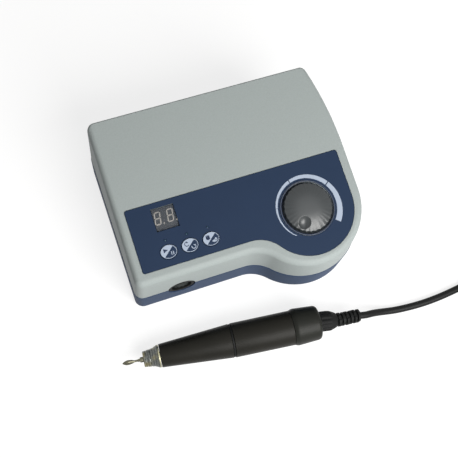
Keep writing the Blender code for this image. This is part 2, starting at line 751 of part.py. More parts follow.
def make_base_shell(box):
    lip_out = SHELL_WALL + GAP
    lip_in = lip_out + LIP_THICKNESS
    lip_top = PARTING_HEIGHT + LIP_HEIGHT
    half_round = BASE_EDGE_ROUND * (1 - math.cos(math.radians(45)))
    rings = [
        level_ring(BASE_TUCK + BASE_EDGE_ROUND, 0),
        level_ring(BASE_TUCK + half_round, half_round),
        level_ring(BASE_TUCK, BASE_EDGE_ROUND),
        level_ring(0, PARTING_HEIGHT),
        level_ring(lip_out, PARTING_HEIGHT),
        level_ring(lip_out, lip_top),
        level_ring(lip_in, lip_top),
        level_ring(lip_in, FLOOR_THICKNESS),
    ]
    shell = piece("base_shell", rings, box, "blue_plastic")
    under_floor = FLOOR_THICKNESS / 2
    posts = []
    for xy in case_screw_places():
        posts.append(rod(under_floor, PARTING_HEIGHT - GAP, CASE_POST_RADIUS, SMALL_SIDES, xy))
    board_top = FLOOR_THICKNESS + MAIN_BOARD_POST_HEIGHT
    for xy in main_board_corners():
        posts.append(staked_post(under_floor, board_top, MAIN_BOARD_POST_RADIUS, BOARD_THICKNESS, xy))
    pad_top = FLOOR_THICKNESS + BRACKET_PAD_HEIGHT
    for xy in strap_foot_places():
        posts.append(staked_post(under_floor, pad_top, BRACKET_PAD_RADIUS, BRACKET_THICKNESS, xy))
    add_on(shell, hidden("base_posts", posts, box))
    screw_hole = CASE_SCREW_RADIUS + GAP
    head_hole = CASE_SCREW_HEAD_RADIUS + GAP
    profile = [
        (-CUT_OVERRUN, head_hole),
        (CASE_SCREW_RECESS, head_hole),
        (CASE_SCREW_RECESS, screw_hole),
        (lip_top, screw_hole),
    ]
    holes = [turned(profile, SMALL_SIDES, xy) for xy in case_screw_places()]
    cut(shell, hidden("base_screw_holes", holes, box))
    return shell


def make_top_shell(box, panel):
    start = PARTING_HEIGHT + GAP
    rings = []
    for turn_deg in (90, 60, 30, 0):
        sine = math.sin(math.radians(turn_deg))
        cosine = math.cos(math.radians(turn_deg))
        side = SIDE_DRAFT + TOP_EDGE_ROUND * (1 - cosine)
        back = BACK_DRAFT + BACK_EDGE_ROUND * (1 - cosine)
        rings.append(roof_ring(side, back, TOP_EDGE_ROUND * (1 - sine)))
    rings.append(level_ring(TOP_STEP, start))
    rings.append(level_ring(SHELL_WALL, start))
    inner_side = SHELL_WALL + SIDE_DRAFT
    inner_back = SHELL_WALL + BACK_DRAFT
    rings.append(roof_ring(inner_side, inner_back, SHELL_WALL + TOP_EDGE_ROUND / 2))
    rings.append(roof_ring(inner_side + TOP_EDGE_ROUND / 2, inner_back + BACK_EDGE_ROUND / 2, SHELL_WALL))
    shell = piece("top_shell", rings, box, "grey_plastic")
    roof_sink = SHELL_WALL / 2
    posts = []
    for xy in case_screw_places():
        post_top = top_height(xy[1] - CASE_POST_RADIUS) - roof_sink
        posts.append(rod(start, post_top, CASE_POST_RADIUS, SMALL_SIDES, xy))
    add_on(shell, hidden("top_posts", posts, box))
    board_low = -PANEL_BOARD_BELOW - BOARD_THICKNESS
    profile = [
        (board_low - STAKE_PROUD, STAKE_RADIUS),
        (-PANEL_BOARD_BELOW + GAP, STAKE_RADIUS),
        (-PANEL_BOARD_BELOW + GAP, PANEL_POST_RADIUS),
        (-PANEL_RECESS - GAP * 2, PANEL_POST_RADIUS),
    ]
    posts = [turned(profile, SMALL_SIDES, xy) for xy in panel_board_corners()]
    add_on(shell, hidden("panel_board_posts", posts, panel))
    hole = CASE_SCREW_RADIUS + GAP
    reach = start + CASE_SCREW_REACH
    holes = [rod(0, reach, hole, SMALL_SIDES, xy) for xy in case_screw_places()]
    cut(shell, hidden("top_screw_holes", holes, box))
    cut(shell, hidden("panel_recess", [prism(panel_outline(-GAP), -PANEL_RECESS, CUT_OVERRUN)], panel))
    cut(shell, hidden("panel_roof_holes", panel_holes(GAP), panel))
    return shell


def panel_holes(ease):
    """Holes through panel and roof: the window, three buttons, three indicators and the dial's bushing."""
    low = -PANEL_RECESS - SHELL_WALL - CUT_OVERRUN
    high = CUT_OVERRUN
    half = WINDOW_SIDE / 2 + ease
    near = (DISPLAY_X - half, DISPLAY_ALONG - half, low)
    far = (DISPLAY_X + half, DISPLAY_ALONG + half, high)
    holes = [block(near, far)]
    for xy in button_places():
        wide = BUTTON_HALF_WIDTH + ease
        deep = BUTTON_HALF_DEPTH + ease
        holes.append([oval(wide, deep, low, MEDIUM_SIDES, xy), oval(wide, deep, high, MEDIUM_SIDES, xy)])
    for xy in indicator_places():
        holes.append(rod(low, high, INDICATOR_RADIUS + ease, SMALL_SIDES, xy))
    holes.append(rod(low, high, POT_BUSHING_RADIUS + ease, MEDIUM_SIDES, (DIAL_X, DIAL_ALONG)))
    return holes


def make_panel(panel):
    low = -PANEL_RECESS + GAP
    sheet = prism(panel_outline(), low, low + PANEL_THICKNESS)
    overlay = piece("panel_overlay", sheet, panel, "navy_panel")
    cut(overlay, hidden("overlay_holes", panel_holes(GAP), panel))
    dial = (DIAL_X, DIAL_ALONG)
    well = rod(-PANEL_RECESS - CUT_OVERRUN, CUT_OVERRUN, BEZEL_RADIUS + GAP, FINE_SIDES, dial)
    cut(overlay, hidden("dial_well", [well], panel))
    half = WINDOW_SIDE / 2
    near = (DISPLAY_X - half, DISPLAY_ALONG - half, low)
    far = (DISPLAY_X + half, DISPLAY_ALONG + half, low + PANEL_THICKNESS)
    piece("display_window", block(near, far), panel, "smoked_window", smooth_deg=None)
    ring = turned(
        [
            (low, BEZEL_RADIUS),
            (BEZEL_PROUD, BEZEL_RADIUS),
            (BEZEL_PROUD, BEZEL_RADIUS - BEZEL_WIDTH),
            (low, BEZEL_RADIUS - BEZEL_WIDTH),
        ],
        FINE_SIDES,
    )
    piece("dial_bezel", (ring, True), panel, "dark_plastic", place=(DIAL_X, DIAL_ALONG, 0))


def seven_segments(centre_x, centre_y, low):
    """One slanted digit: three bars across, four upright, and its decimal point."""
    half_width = (DIGIT_WIDTH - SEGMENT_WIDTH) / 2
    half_height = (DIGIT_HEIGHT - SEGMENT_WIDTH) / 2
    half_bar = SEGMENT_WIDTH / 2
    slant = math.tan(math.radians(DIGIT_SLANT_DEG))
    high = low + SEGMENT_THICKNESS * 2

    def body(points):
        return prism([(centre_x + x + y * slant, centre_y + y) for x, y in points], low, high)

    bodies = []
    for y in (-half_height, 0, half_height):
        end = half_width - SEGMENT_GAP
        outline = [(-end, y), (half_bar - end, y - half_bar), (end - half_bar, y - half_bar)]
        outline += [(end, y), (end - half_bar, y + half_bar), (half_bar - end, y + half_bar)]
        bodies.append(body(outline))
    for x in (-half_width, half_width):
        for foot in (-half_height, 0):
            low_end = foot + SEGMENT_GAP
            high_end = foot + half_height - SEGMENT_GAP
            first = low_end + half_bar
            last = high_end - half_bar
            outline = [(x, low_end), (x + half_bar, first), (x + half_bar, last)]
            outline += [(x, high_end), (x - half_bar, last), (x - half_bar, first)]
            bodies.append(body(outline))
    dot_x = centre_x + half_width + SEGMENT_WIDTH + DECIMAL_DOT_RADIUS
    bodies.append(rod(low, high, DECIMAL_DOT_RADIUS, SMALL_SIDES, (dot_x, centre_y - half_height)))
    return bodies


def make_display(panel):
    face = -PANEL_RECESS - SEGMENT_THICKNESS - GAP
    half = MODULE_SIDE / 2
    foot = -PANEL_BOARD_BELOW + GAP
    low = max(face - MODULE_DEPTH, foot)
    near = (DISPLAY_X - half, DISPLAY_ALONG - half, low)
    far = (DISPLAY_X + half, DISPLAY_ALONG + half, face)
    module = piece("display_module", block(near, far), panel, "black_plastic", smooth_deg=None)
    digits = []
    for side in (-1, 1):
        centre = DISPLAY_X + side * DIGIT_PITCH / 2 - SEGMENT_WIDTH / 2
        digits += seven_segments(centre, DISPLAY_ALONG, face - SEGMENT_THICKNESS)
    add_on(module, hidden("digit_segments", digits, panel))


def make_dial(panel):
    """The knob and the shaft that it turns; both have their origin on the shaft's axis."""
    place = (DIAL_X, DIAL_ALONG, 0)
    low = -PANEL_RECESS + GAP * 2
    high = low + KNOB_HEIGHT
    shoulder = high - KNOB_EDGE_ROUND - KNOB_DOME
    rings = []
    for height, radius in ((low, KNOB_BASE_RADIUS), (shoulder, KNOB_TOP_RADIUS + KNOB_GRIP_DEPTH)):
        ring = []
        for i in range(KNOB_GRIP_COUNT * 2):
            angle = math.tau * i / (KNOB_GRIP_COUNT * 2)
            flute = radius - KNOB_GRIP_DEPTH * (i % 2)
            ring.append((flute * math.cos(angle), flute * math.sin(angle), height))
        rings.append(ring)
    count = KNOB_GRIP_COUNT * 2
    rings.append(circle(KNOB_TOP_RADIUS - KNOB_EDGE_ROUND, high - KNOB_DOME, count))
    rings.append(circle(KNOB_TOP_RADIUS * 0.5, high - KNOB_DOME * 0.25, count))
    rings.append([(0, 0, high)])
    knob = piece("speed_knob", rings, panel, "dark_plastic", place=place, smooth_deg=25.0)
    cavity = low + KNOB_CAVITY_DEPTH
    bore = turned(
        [
            (low - CUT_OVERRUN, KNOB_CAVITY_RADIUS),
            (cavity, KNOB_CAVITY_RADIUS),
            (cavity, DIAL_SHAFT_RADIUS + GAP),
            (DIAL_SHAFT_REACH + GAP, DIAL_SHAFT_RADIUS + GAP),
        ],
        MEDIUM_SIDES,
    )
    cut(knob, hidden("knob_bore", [bore], panel, place=place))
    ball = (DIMPLE_RADIUS**2 + DIMPLE_DEPTH**2) / (2 * DIMPLE_DEPTH)
    angle = math.radians(DIMPLE_ANGLE_DEG)
    spot = (DIMPLE_PLACE_RADIUS * math.cos(angle), DIMPLE_PLACE_RADIUS * math.sin(angle))
    centre_height = high - KNOB_DOME * 0.5 - DIMPLE_DEPTH + ball
    rings = []
    steps = 6
    widest = math.asin(DIMPLE_RADIUS / ball) * DIMPLE_OVERRUN_SHARE
    for i in range(steps + 1):
        lean = widest * i / steps
        height = centre_height - ball * math.cos(lean)
        rings.append(circle(ball * math.sin(lean), height, MEDIUM_SIDES, spot))
    cut(knob, hidden("knob_dimple", [rings], panel, place=place))
    shaft = rod(DIAL_SHAFT_REACH - DIAL_SHAFT_LENGTH, DIAL_SHAFT_REACH, DIAL_SHAFT_RADIUS, INNER_SIDES)
    piece("potentiometer_shaft", shaft, panel, "steel", place=place)
    roof_under = -SHELL_WALL - GAP
    bore = DIAL_SHAFT_RADIUS + RUNNING_CLEARANCE
    body = turned(
        [
            (roof_under - POT_BODY_DEPTH, POT_BODY_RADIUS),
            (roof_under, POT_BODY_RADIUS),
            (roof_under, POT_BUSHING_RADIUS),
            (POT_BUSHING_PROUD, POT_BUSHING_RADIUS),
            (POT_BUSHING_PROUD, bore),
            (roof_under - POT_BODY_DEPTH, bore),
        ],
        INNER_SIDES,
    )
    piece("potentiometer", (body, True), panel, "steel", place=place)


def switch_top():
    """Height of the key switches' plungers: each button's stem stops just over one when it is pressed."""
    return -PANEL_BOARD_BELOW + SWITCH_SIDE / 2 + SWITCH_PLUNGER_HEIGHT


def make_buttons(panel):
    flange_high = -SHELL_WALL - GAP
    flange_low = flange_high - BUTTON_FLANGE_THICKNESS
    stem_low = switch_top() + BUTTON_TRAVEL + GAP
    flange_wide = BUTTON_HALF_WIDTH + BUTTON_FLANGE_WIDTH
    flange_deep = BUTTON_HALF_DEPTH + BUTTON_FLANGE_WIDTH
    stem = BUTTON_STEM_RADIUS
    sections = [
        (stem, stem, stem_low),
        (stem, stem, flange_low),
        (flange_wide, flange_deep, flange_low),
        (flange_wide, flange_deep, flange_high),
        (BUTTON_HALF_WIDTH, BUTTON_HALF_DEPTH, flange_high),
        (BUTTON_HALF_WIDTH, BUTTON_HALF_DEPTH, BUTTON_PROUD - BUTTON_EDGE_ROUND),
        (BUTTON_HALF_WIDTH - BUTTON_EDGE_ROUND, BUTTON_HALF_DEPTH - BUTTON_EDGE_ROUND, BUTTON_PROUD),
    ]
    rings = [oval(wide, deep, height, MEDIUM_SIDES, (0, 0)) for wide, deep, height in sections]
    for name, (x, along) in zip(("run_button", "direction_button", "control_button"), button_places()):
        piece(name, rings, panel, "white_print", place=(x, along, 0))


def make_panel_board(panel):
    high = -PANEL_BOARD_BELOW
    low = high - BOARD_THICKNESS
    right = PANEL_BOARD_LEFT + PANEL_BOARD_WIDTH
    back = PANEL_BOARD_FRONT + PANEL_BOARD_DEPTH
    plate = block((PANEL_BOARD_LEFT, PANEL_BOARD_FRONT, low), (right, back, high))
    board = piece("panel_board", plate, panel, "board_green", smooth_deg=None)
    hole = STAKE_RADIUS + GAP
    ends = (low - CUT_OVERRUN, high + CUT_OVERRUN)
    holes = [rod(*ends, hole, SMALL_SIDES, xy) for xy in panel_board_corners()]
    cut(board, hidden("panel_board_holes", holes, panel))
    half = SWITCH_SIDE / 2
    foot = high - BOARD_THICKNESS / 2
    shapes = []
    for x, y in button_places():
        near = (x - half, y - half, foot)
        far = (x + half, y + half, high + half)
        shapes.append(stepped_block(near, far, SWITCH_PLUNGER_SIDE, SWITCH_PLUNGER_HEIGHT))
    for xy in indicator_places():
        profile = [
            (foot, INDICATOR_RADIUS),
            (-INDICATOR_RADIUS / 2, INDICATOR_RADIUS),
            (0, INDICATOR_RADIUS / 2),
        ]
        shapes.append(turned(profile, SMALL_SIDES, xy))
    add_on(board, hidden("keys_and_lamps", shapes, panel))


def make_feet_and_screws(box):
    right = BOX_WIDTH - FOOT_INSET
    back = BOX_DEPTH - FOOT_INSET
    places = [(FOOT_INSET, FOOT_INSET), (right, FOOT_INSET), (right, back), (FOOT_INSET, back)]
    profile = [
        (-FOOT_HEIGHT, FOOT_RADIUS - FOOT_EDGE_ROUND),
        (-FOOT_HEIGHT + FOOT_EDGE_ROUND, FOOT_RADIUS),
        (-GAP, FOOT_RADIUS),
    ]
    for corner_name, xy in zip(CORNER_NAMES, places):
        piece("foot_" + corner_name, turned(profile, INNER_SIDES, xy), box, "black_rubber")
    head_high = CASE_SCREW_RECESS - GAP
    head_low = head_high - CASE_SCREW_HEAD_HEIGHT
    profile = [
        (head_low, CASE_SCREW_HEAD_RADIUS * 0.8),
        (head_low + CASE_SCREW_HEAD_HEIGHT / 2, CASE_SCREW_HEAD_RADIUS),
        (head_high, CASE_SCREW_HEAD_RADIUS),
        (head_high, CASE_SCREW_RADIUS),
        (PARTING_HEIGHT + CASE_SCREW_REACH - GAP, CASE_SCREW_RADIUS),
    ]
    for corner_name, xy in zip(CORNER_NAMES, case_screw_places()):
        piece("case_screw_" + corner_name, turned(profile, SMALL_SIDES, xy), box, "steel")


def make_socket(box, top_shell, base_shell):
    """The socket's pieces are turned round an axis that looks out of the front wall."""
    frame = new_frame("socket_frame", box, (SOCKET_X, BOX_FRONT, PARTING_HEIGHT), outward_turn())
    hole = [rod(-SOCKET_FLANGE_BACK, CUT_OVERRUN, SOCKET_RADIUS + GAP, MEDIUM_SIDES)]
    cutter = hidden("socket_hole", hole, frame)
    cut(top_shell, cutter)
    cut(base_shell, cutter)
    front = -SOCKET_SETBACK
    back = front - SOCKET_LENGTH
    well = front - SOCKET_WELL_DEPTH
    flange_front = -SOCKET_FLANGE_BACK
    flange_back = flange_front - SOCKET_FLANGE_THICKNESS
    profile = [
        (back, SOCKET_RADIUS),
        (flange_back, SOCKET_RADIUS),
        (flange_back, SOCKET_FLANGE_RADIUS),
        (flange_front, SOCKET_FLANGE_RADIUS),
        (flange_front, SOCKET_RADIUS),
        (front - SOCKET_RIM_ROUND, SOCKET_RADIUS),
        (front, SOCKET_RADIUS - SOCKET_RIM_ROUND),
        (front, SOCKET_WELL_RADIUS + SOCKET_RIM_ROUND),
        (front - SOCKET_RIM_ROUND, SOCKET_WELL_RADIUS),
        (well, SOCKET_WELL_RADIUS),
    ]
    socket = piece("handpiece_socket", turned(profile, MEDIUM_SIDES), frame, "black_plastic")
    low = well - CONTACT_HOLE_DEPTH
    holes = [rod(low, CUT_OVERRUN, CONTACT_HOLE_RADIUS, SMALL_SIDES, xy) for xy in contact_places()]
    cut(socket, hidden("contact_holes", holes, frame))


def make_rear(box, top_shell):
    """Rear panel inside the back wall's opening, and the fittings on it.

    The rear frame looks out of the back: its +Z is +Y of the box and its +Y is up.
    """
    outer = BOX_DEPTH
    wall_inside = BACK_WALL_INSIDE
    left = REAR_OPENING_LEFT
    right = left + REAR_OPENING_WIDTH
    bottom = REAR_OPENING_BOTTOM
    top = bottom + REAR_OPENING_HEIGHT
    opening = [block((left, wall_inside - CUT_OVERRUN, bottom), (right, outer + CUT_OVERRUN, top))]
    cut(top_shell, hidden("rear_opening", opening, box))
    low = (left - REAR_PANEL_MARGIN, wall_inside - REAR_PANEL_THICKNESS, bottom - REAR_PANEL_BELOW)
    high = (right + REAR_PANEL_MARGIN, wall_inside, top + REAR_PANEL_BELOW)
    plate = piece("rear_panel", block(low, high), box, "dark_plastic", smooth_deg=None)
    frame = new_frame("rear_frame", box, (0, wall_inside, FITTINGS_HEIGHT), rearward_turn())
    middle = (top + bottom) / 2 - FITTINGS_HEIGHT
    places = []
    for x in (left - REAR_PANEL_MARGIN / 2, right + REAR_PANEL_MARGIN / 2):
        for side in (-1, 1):
            places.append((-x, middle + side * REAR_STAKE_SPACING / 2))
    holes = [rod(-CUT_OVERRUN, CUT_OVERRUN, STAKE_RADIUS + GAP, SMALL_SIDES, xy) for xy in places]
    cut(plate, hidden("rear_stake_holes", holes, frame))
    stake_low = -REAR_PANEL_THICKNESS - STAKE_PROUD
    stake_high = GAP + BACK_DRAFT + SHELL_WALL / 2
    stakes = [rod(stake_low, stake_high, STAKE_RADIUS, SMALL_SIDES, xy) for xy in places]
    add_on(top_shell, hidden("rear_stakes", stakes, frame))
    make_mains_inlet(frame, plate)
    make_rocker(frame, plate)
    make_fuse(frame, plate)
    make_pedal_jack(frame, plate)


def chamfered(half_width, half_height, chamfer, centre_x):
    """The inlet's outline: a rectangle with its two upper corners cut off."""
    return [
        (centre_x - half_width, -half_height),
        (centre_x + half_width, -half_height),
        (centre_x + half_width, half_height - chamfer),
        (centre_x + half_width - chamfer, half_height),
        (centre_x - half_width + chamfer, half_height),
        (centre_x - half_width, half_height - chamfer),
    ]


def make_mains_inlet(frame, plate):
    centre = -INLET_X
    half_width = INLET_WIDTH / 2
    half_height = INLET_HEIGHT / 2
    around = chamfered(half_width + GAP, half_height + GAP, INLET_CHAMFER, centre)
    hole = prism(around, -CUT_OVERRUN, CUT_OVERRUN)
    cut(plate, hidden("inlet_cutout", [hole], frame))
    back = -INLET_DEPTH
    flange_low = GAP
    flange_high = GAP + INLET_FLANGE_THICKNESS
    body = chamfered(half_width, half_height, INLET_CHAMFER, centre)
    wide = half_width + INLET_FLANGE_WIDTH
    tall = half_height + INLET_FLANGE_WIDTH
    flange = chamfered(wide, tall, INLET_CHAMFER, centre)
    cavity = chamfered(half_width - INLET_WALL, half_height - INLET_WALL, INLET_CHAMFER, centre)
    floor = back + INLET_WALL

    def ring(outline, height):
        return [(x, y, height) for x, y in outline]

    rings = [ring(body, back), ring(body, flange_low), ring(flange, flange_low), ring(flange, flange_high)]
    rings += [ring(cavity, flange_high), ring(cavity, floor)]
    inlet = piece("mains_inlet", rings, frame, "black_plastic", smooth_deg=None)
    half_thick = INLET_PIN_THICKNESS / 2
    half_tall = INLET_PIN_HEIGHT / 2
    across = INLET_PIN_SPACING / 2
    drop = -INLET_PIN_OFFSET
    spots = [(centre - across, drop), (centre, -drop), (centre + across, drop)]
    pins = []
    for x, y in spots:
        near = (x - half_thick, y - half_tall, back - INLET_TAB_LENGTH)
        far = (x + half_thick, y + half_tall, flange_high - INLET_PIN_SETBACK)
        pins.append(block(near, far))
    add_on(inlet, hidden("inlet_pins", pins, frame))


def make_rocker(frame, plate):
    """The housing, and the rocker on its pin: its origin is on the pin's axis, which runs across."""
    centre = -ROCKER_X
    half_width = ROCKER_WELL_WIDTH / 2
    half_height = ROCKER_WELL_HEIGHT / 2
    out_width = half_width + ROCKER_WALL
    out_height = half_height + ROCKER_WALL

    def ring(half_x, half_y, height):
        return block((centre - half_x, -half_y, height), (centre + half_x, half_y, height))[0]

    hole = [ring(out_width + GAP, out_height + GAP, height) for height in (-CUT_OVERRUN, CUT_OVERRUN)]
    cut(plate, hidden("rocker_cutout", [hole], frame))
    flange = ROCKER_FLANGE_WIDTH
    low = GAP
    high = GAP + INLET_FLANGE_THICKNESS
    rings = [
        ring(out_width, out_height, -ROCKER_HOUSING_DEPTH),
        ring(out_width, out_height, low),
        ring(out_width + flange, out_height + flange, low),
        ring(out_width + flange, out_height + flange, high),
        ring(half_width, half_height, high),
        ring(half_width, half_height, -ROCKER_HOUSING_DEPTH + ROCKER_WALL),
    ]
    piece("rocker_housing", rings, frame, "black_plastic", smooth_deg=None)
    tilt = math.radians(ROCKER_HALF_TILT_DEG)
    reach = half_height - ROCKER_END_CLEARANCE
    pivot = high - ROCKER_PIVOT_DEPTH
    face = ROCKER_PROUD
    dip = face - reach * math.tan(tilt)
    outline = [(-reach, dip), (-reach, -ROCKER_DEPTH), (reach, -ROCKER_DEPTH), (reach, dip), (0, face)]
    sine = math.sin(tilt)
    cosine = math.cos(tilt)
    tilted = [(across * cosine - out * sine, across * sine + out * cosine) for across, out in outline]
    side = half_width - RUNNING_CLEARANCE
    rings = [[(x, across, out) for across, out in tilted] for x in (-side, side)]
    piece("power_rocker", rings, frame, "black_plastic", place=(centre, 0, pivot), smooth_deg=None)


def make_fuse(frame, plate):
    place = (-FUSE_X, 0, 0)
    hole = [rod(-CUT_OVERRUN, CUT_OVERRUN, FUSE_BODY_RADIUS + GAP, MEDIUM_SIDES)]
    cut(plate, hidden("fuse_cutout", hole, frame, place=place))
    flange_high = GAP + FUSE_FLANGE_THICKNESS
    top = flange_high + FUSE_CAP_HEIGHT
    profile = [
        (flange_high - FUSE_BODY_LENGTH, FUSE_BODY_RADIUS),
        (GAP, FUSE_BODY_RADIUS),
        (GAP, FUSE_FLANGE_RADIUS),
        (flange_high, FUSE_FLANGE_RADIUS),
        (flange_high, FUSE_CAP_RADIUS),
        (top - FUSE_SLOT_DEPTH / 2, FUSE_CAP_RADIUS),
        (top, FUSE_CAP_RADIUS - FUSE_SLOT_DEPTH / 2),
    ]
    holder = piece("fuse_holder", turned(profile, MEDIUM_SIDES), frame, "black_plastic", place=place)
    half = FUSE_SLOT_WIDTH / 2
    reach = FUSE_CAP_RADIUS + CUT_OVERRUN
    slot = block((-reach, -half, top - FUSE_SLOT_DEPTH), (reach, half, top + CUT_OVERRUN))
    cut(holder, hidden("fuse_slot", [slot], frame, place=place))


def make_pedal_jack(frame, plate):
    place = (-PEDAL_X, 0, 0)
    hole = [rod(-CUT_OVERRUN, CUT_OVERRUN, PEDAL_BUSHING_RADIUS + GAP, MEDIUM_SIDES)]
    cut(plate, hidden("pedal_cutout", hole, frame, place=place))
    nut_top = GAP + PEDAL_NUT_HEIGHT
    front = nut_top + PEDAL_STANDOFF
    profile = [
        (GAP - PEDAL_BODY_LENGTH, PEDAL_BUSHING_RADIUS),
        (GAP, PEDAL_BUSHING_RADIUS),
        (GAP, PEDAL_NUT_RADIUS),
        (nut_top, PEDAL_NUT_RADIUS),
        (nut_top, PEDAL_BUSHING_RADIUS),
        (front, PEDAL_BUSHING_RADIUS),
        (front, PEDAL_BORE_RADIUS),
        (front - PEDAL_BORE_DEPTH, PEDAL_BORE_RADIUS),
    ]
    piece("pedal_jack", turned(profile, MEDIUM_SIDES), frame, "steel", place=place)


def make_transformer(box):
    """A laminated core with two windows, the coil round its middle leg, and a strap that holds it down."""
    frame = new_frame("transformer_frame", box, (CORE_X, CORE_Y, FLOOR_THICKNESS + GAP))
    half_width = CORE_WIDTH / 2
    half_depth = CORE_DEPTH / 2
    stack = block((-half_width, -half_depth, 0), (half_width, half_depth, CORE_HEIGHT))
    core = piece("transformer_core", stack, frame, "steel", smooth_deg=None)
    window_low = CORE_LEG
    window_high = CORE_HEIGHT - CORE_LEG
    windows = []
    for side in (-1, 1):
        near = side * CORE_LEG
        far = side * (half_width - CORE_LEG)
        left, right = sorted((near, far))
        deep = half_depth + CUT_OVERRUN
        windows.append(block((left, -deep, window_low), (right, deep, window_high)))
    cut(core, hidden("core_windows", windows, frame))
    coil_half = half_width - CORE_LEG - GAP
    coil_deep = half_depth + COIL_OVERHANG
    leg = CORE_LEG + GAP
    deep = half_depth + GAP
    low = window_low + GAP
    high = window_high - GAP
    outside = block((-coil_half, -coil_deep, low), (coil_half, coil_deep, high))
    inside = block((-leg, -deep, low), (leg, deep, high))
    rings = outside + inside[::-1]
    piece("transformer_coil", (rings, True), frame, "copper", smooth_deg=None)
    reach = half_width + GAP
    thick = BRACKET_THICKNESS
    foot = reach + thick + BRACKET_FOOT
    foot_low = BRACKET_PAD_HEIGHT
    over = CORE_HEIGHT + GAP
    outline = [
        (-foot, foot_low),
        (-reach, foot_low),
        (-reach, over),
        (reach, over),
        (reach, foot_low),
        (foot, foot_low),
        (foot, foot_low + thick),
        (reach + thick, foot_low + thick),
        (reach + thick, over + thick),
        (-reach - thick, over + thick),
        (-reach - thick, foot_low + thick),
        (-foot, foot_low + thick),
    ]
    half = BRACKET_WIDTH / 2
    rings = [[(x, y, z) for x, z in outline] for y in (-half, half)]
    strap = piece("transformer_strap", rings, frame, "steel", smooth_deg=None)
    spots = [(x - CORE_X, y - CORE_Y) for x, y in strap_foot_places()]
    ends = (foot_low - CUT_OVERRUN, foot_low + CUT_OVERRUN)
    holes = [rod(*ends, STAKE_RADIUS + GAP, SMALL_SIDES, xy) for xy in spots]
    cut(strap, hidden("strap_holes", holes, frame))


def make_main_board(box):
    low = FLOOR_THICKNESS + MAIN_BOARD_POST_HEIGHT + GAP
    frame = new_frame("main_board_frame", box, (MAIN_BOARD_LEFT, MAIN_BOARD_FRONT, low + BOARD_THICKNESS))
    plate = block((0, 0, -BOARD_THICKNESS), (MAIN_BOARD_WIDTH, MAIN_BOARD_DEPTH, 0))
    board = piece("main_board", plate, frame, "board_green", smooth_deg=None)
    spots = [(x - MAIN_BOARD_LEFT, y - MAIN_BOARD_FRONT) for x, y in main_board_corners()]
    holes = [rod(-CUT_OVERRUN, CUT_OVERRUN, STAKE_RADIUS + GAP, SMALL_SIDES, xy) for xy in spots]
    cut(board, hidden("main_board_holes", holes, frame))
    back = MAIN_BOARD_DEPTH - MAIN_BOARD_POST_INSET - MAIN_BOARD_POST_RADIUS
    profile = [
        (GAP, CAPACITOR_RADIUS),
        (CAPACITOR_HEIGHT - CAPACITOR_EDGE_ROUND, CAPACITOR_RADIUS),
        (CAPACITOR_HEIGHT, CAPACITOR_RADIUS - CAPACITOR_EDGE_ROUND),
    ]
    first = MAIN_BOARD_POST_INSET + MAIN_BOARD_POST_RADIUS + CAPACITOR_RADIUS
    behind = back - CAPACITOR_RADIUS
    for name, y in (("rear_capacitor", behind), ("front_capacitor", behind - CAPACITOR_PITCH)):
        piece(name, turned(profile, INNER_SIDES, (first, y)), frame, "dark_plastic")
    sink_left = first + CAPACITOR_PITCH / 2 + HEAT_SINK_WEB
    sink_front = back - HEAT_SINK_DEPTH
    sink_width = MAIN_BOARD_WIDTH - sink_left - HEAT_SINK_MARGIN
    outline = [(sink_left, sink_front), (sink_left + sink_width, sink_front)]
    spacing = (sink_width - HEAT_SINK_FIN) / (HEAT_SINK_FIN_COUNT - 1)
    for i in reversed(range(HEAT_SINK_FIN_COUNT)):
        fin_left = sink_left + i * spacing
        outline += [(fin_left + HEAT_SINK_FIN, back), (fin_left, back)]
        if i:
            web = sink_front + HEAT_SINK_WEB
            outline += [(fin_left, web), (fin_left - spacing + HEAT_SINK_FIN, web)]
    piece("heat_sink", prism(outline, GAP, HEAT_SINK_HEIGHT), frame, "aluminium", smooth_deg=None)


def hand_axis():
    """Height of the nose and the pitch at which the handpiece lies on its case and its cap."""
    rise = CAP_FRONT_RADIUS - CASE_FRONT_RADIUS
    run = CAP_FRONT + CAP_FLARE_LENGTH - CASE_FRONT - CASE_EDGE_ROUND
    pitch = math.atan2(rise, run)
    height = CASE_FRONT_RADIUS * math.cos(pitch) - (CASE_FRONT + CASE_EDGE_ROUND) * math.sin(pitch)
    return height, pitch


def make_hand_frame(box):
    """The handpiece's frame: +Z runs from the nose to the cord, and +X looks down."""
    height, pitch = hand_axis()
    yaw = math.radians(HAND_YAW_DEG)
    flat = Vector((math.cos(yaw), math.sin(yaw), 0))
    along = flat * math.cos(pitch) + Vector((0, 0, 1)) * math.sin(pitch)
    down = flat * math.sin(pitch) - Vector((0, 0, 1)) * math.cos(pitch)
    side = along.cross(down)
    turn = Matrix((down, side, along)).transposed()
    return new_frame("hand_frame", box, (HAND_NOSE_X, HAND_NOSE_Y, height - FOOT_HEIGHT), turn)


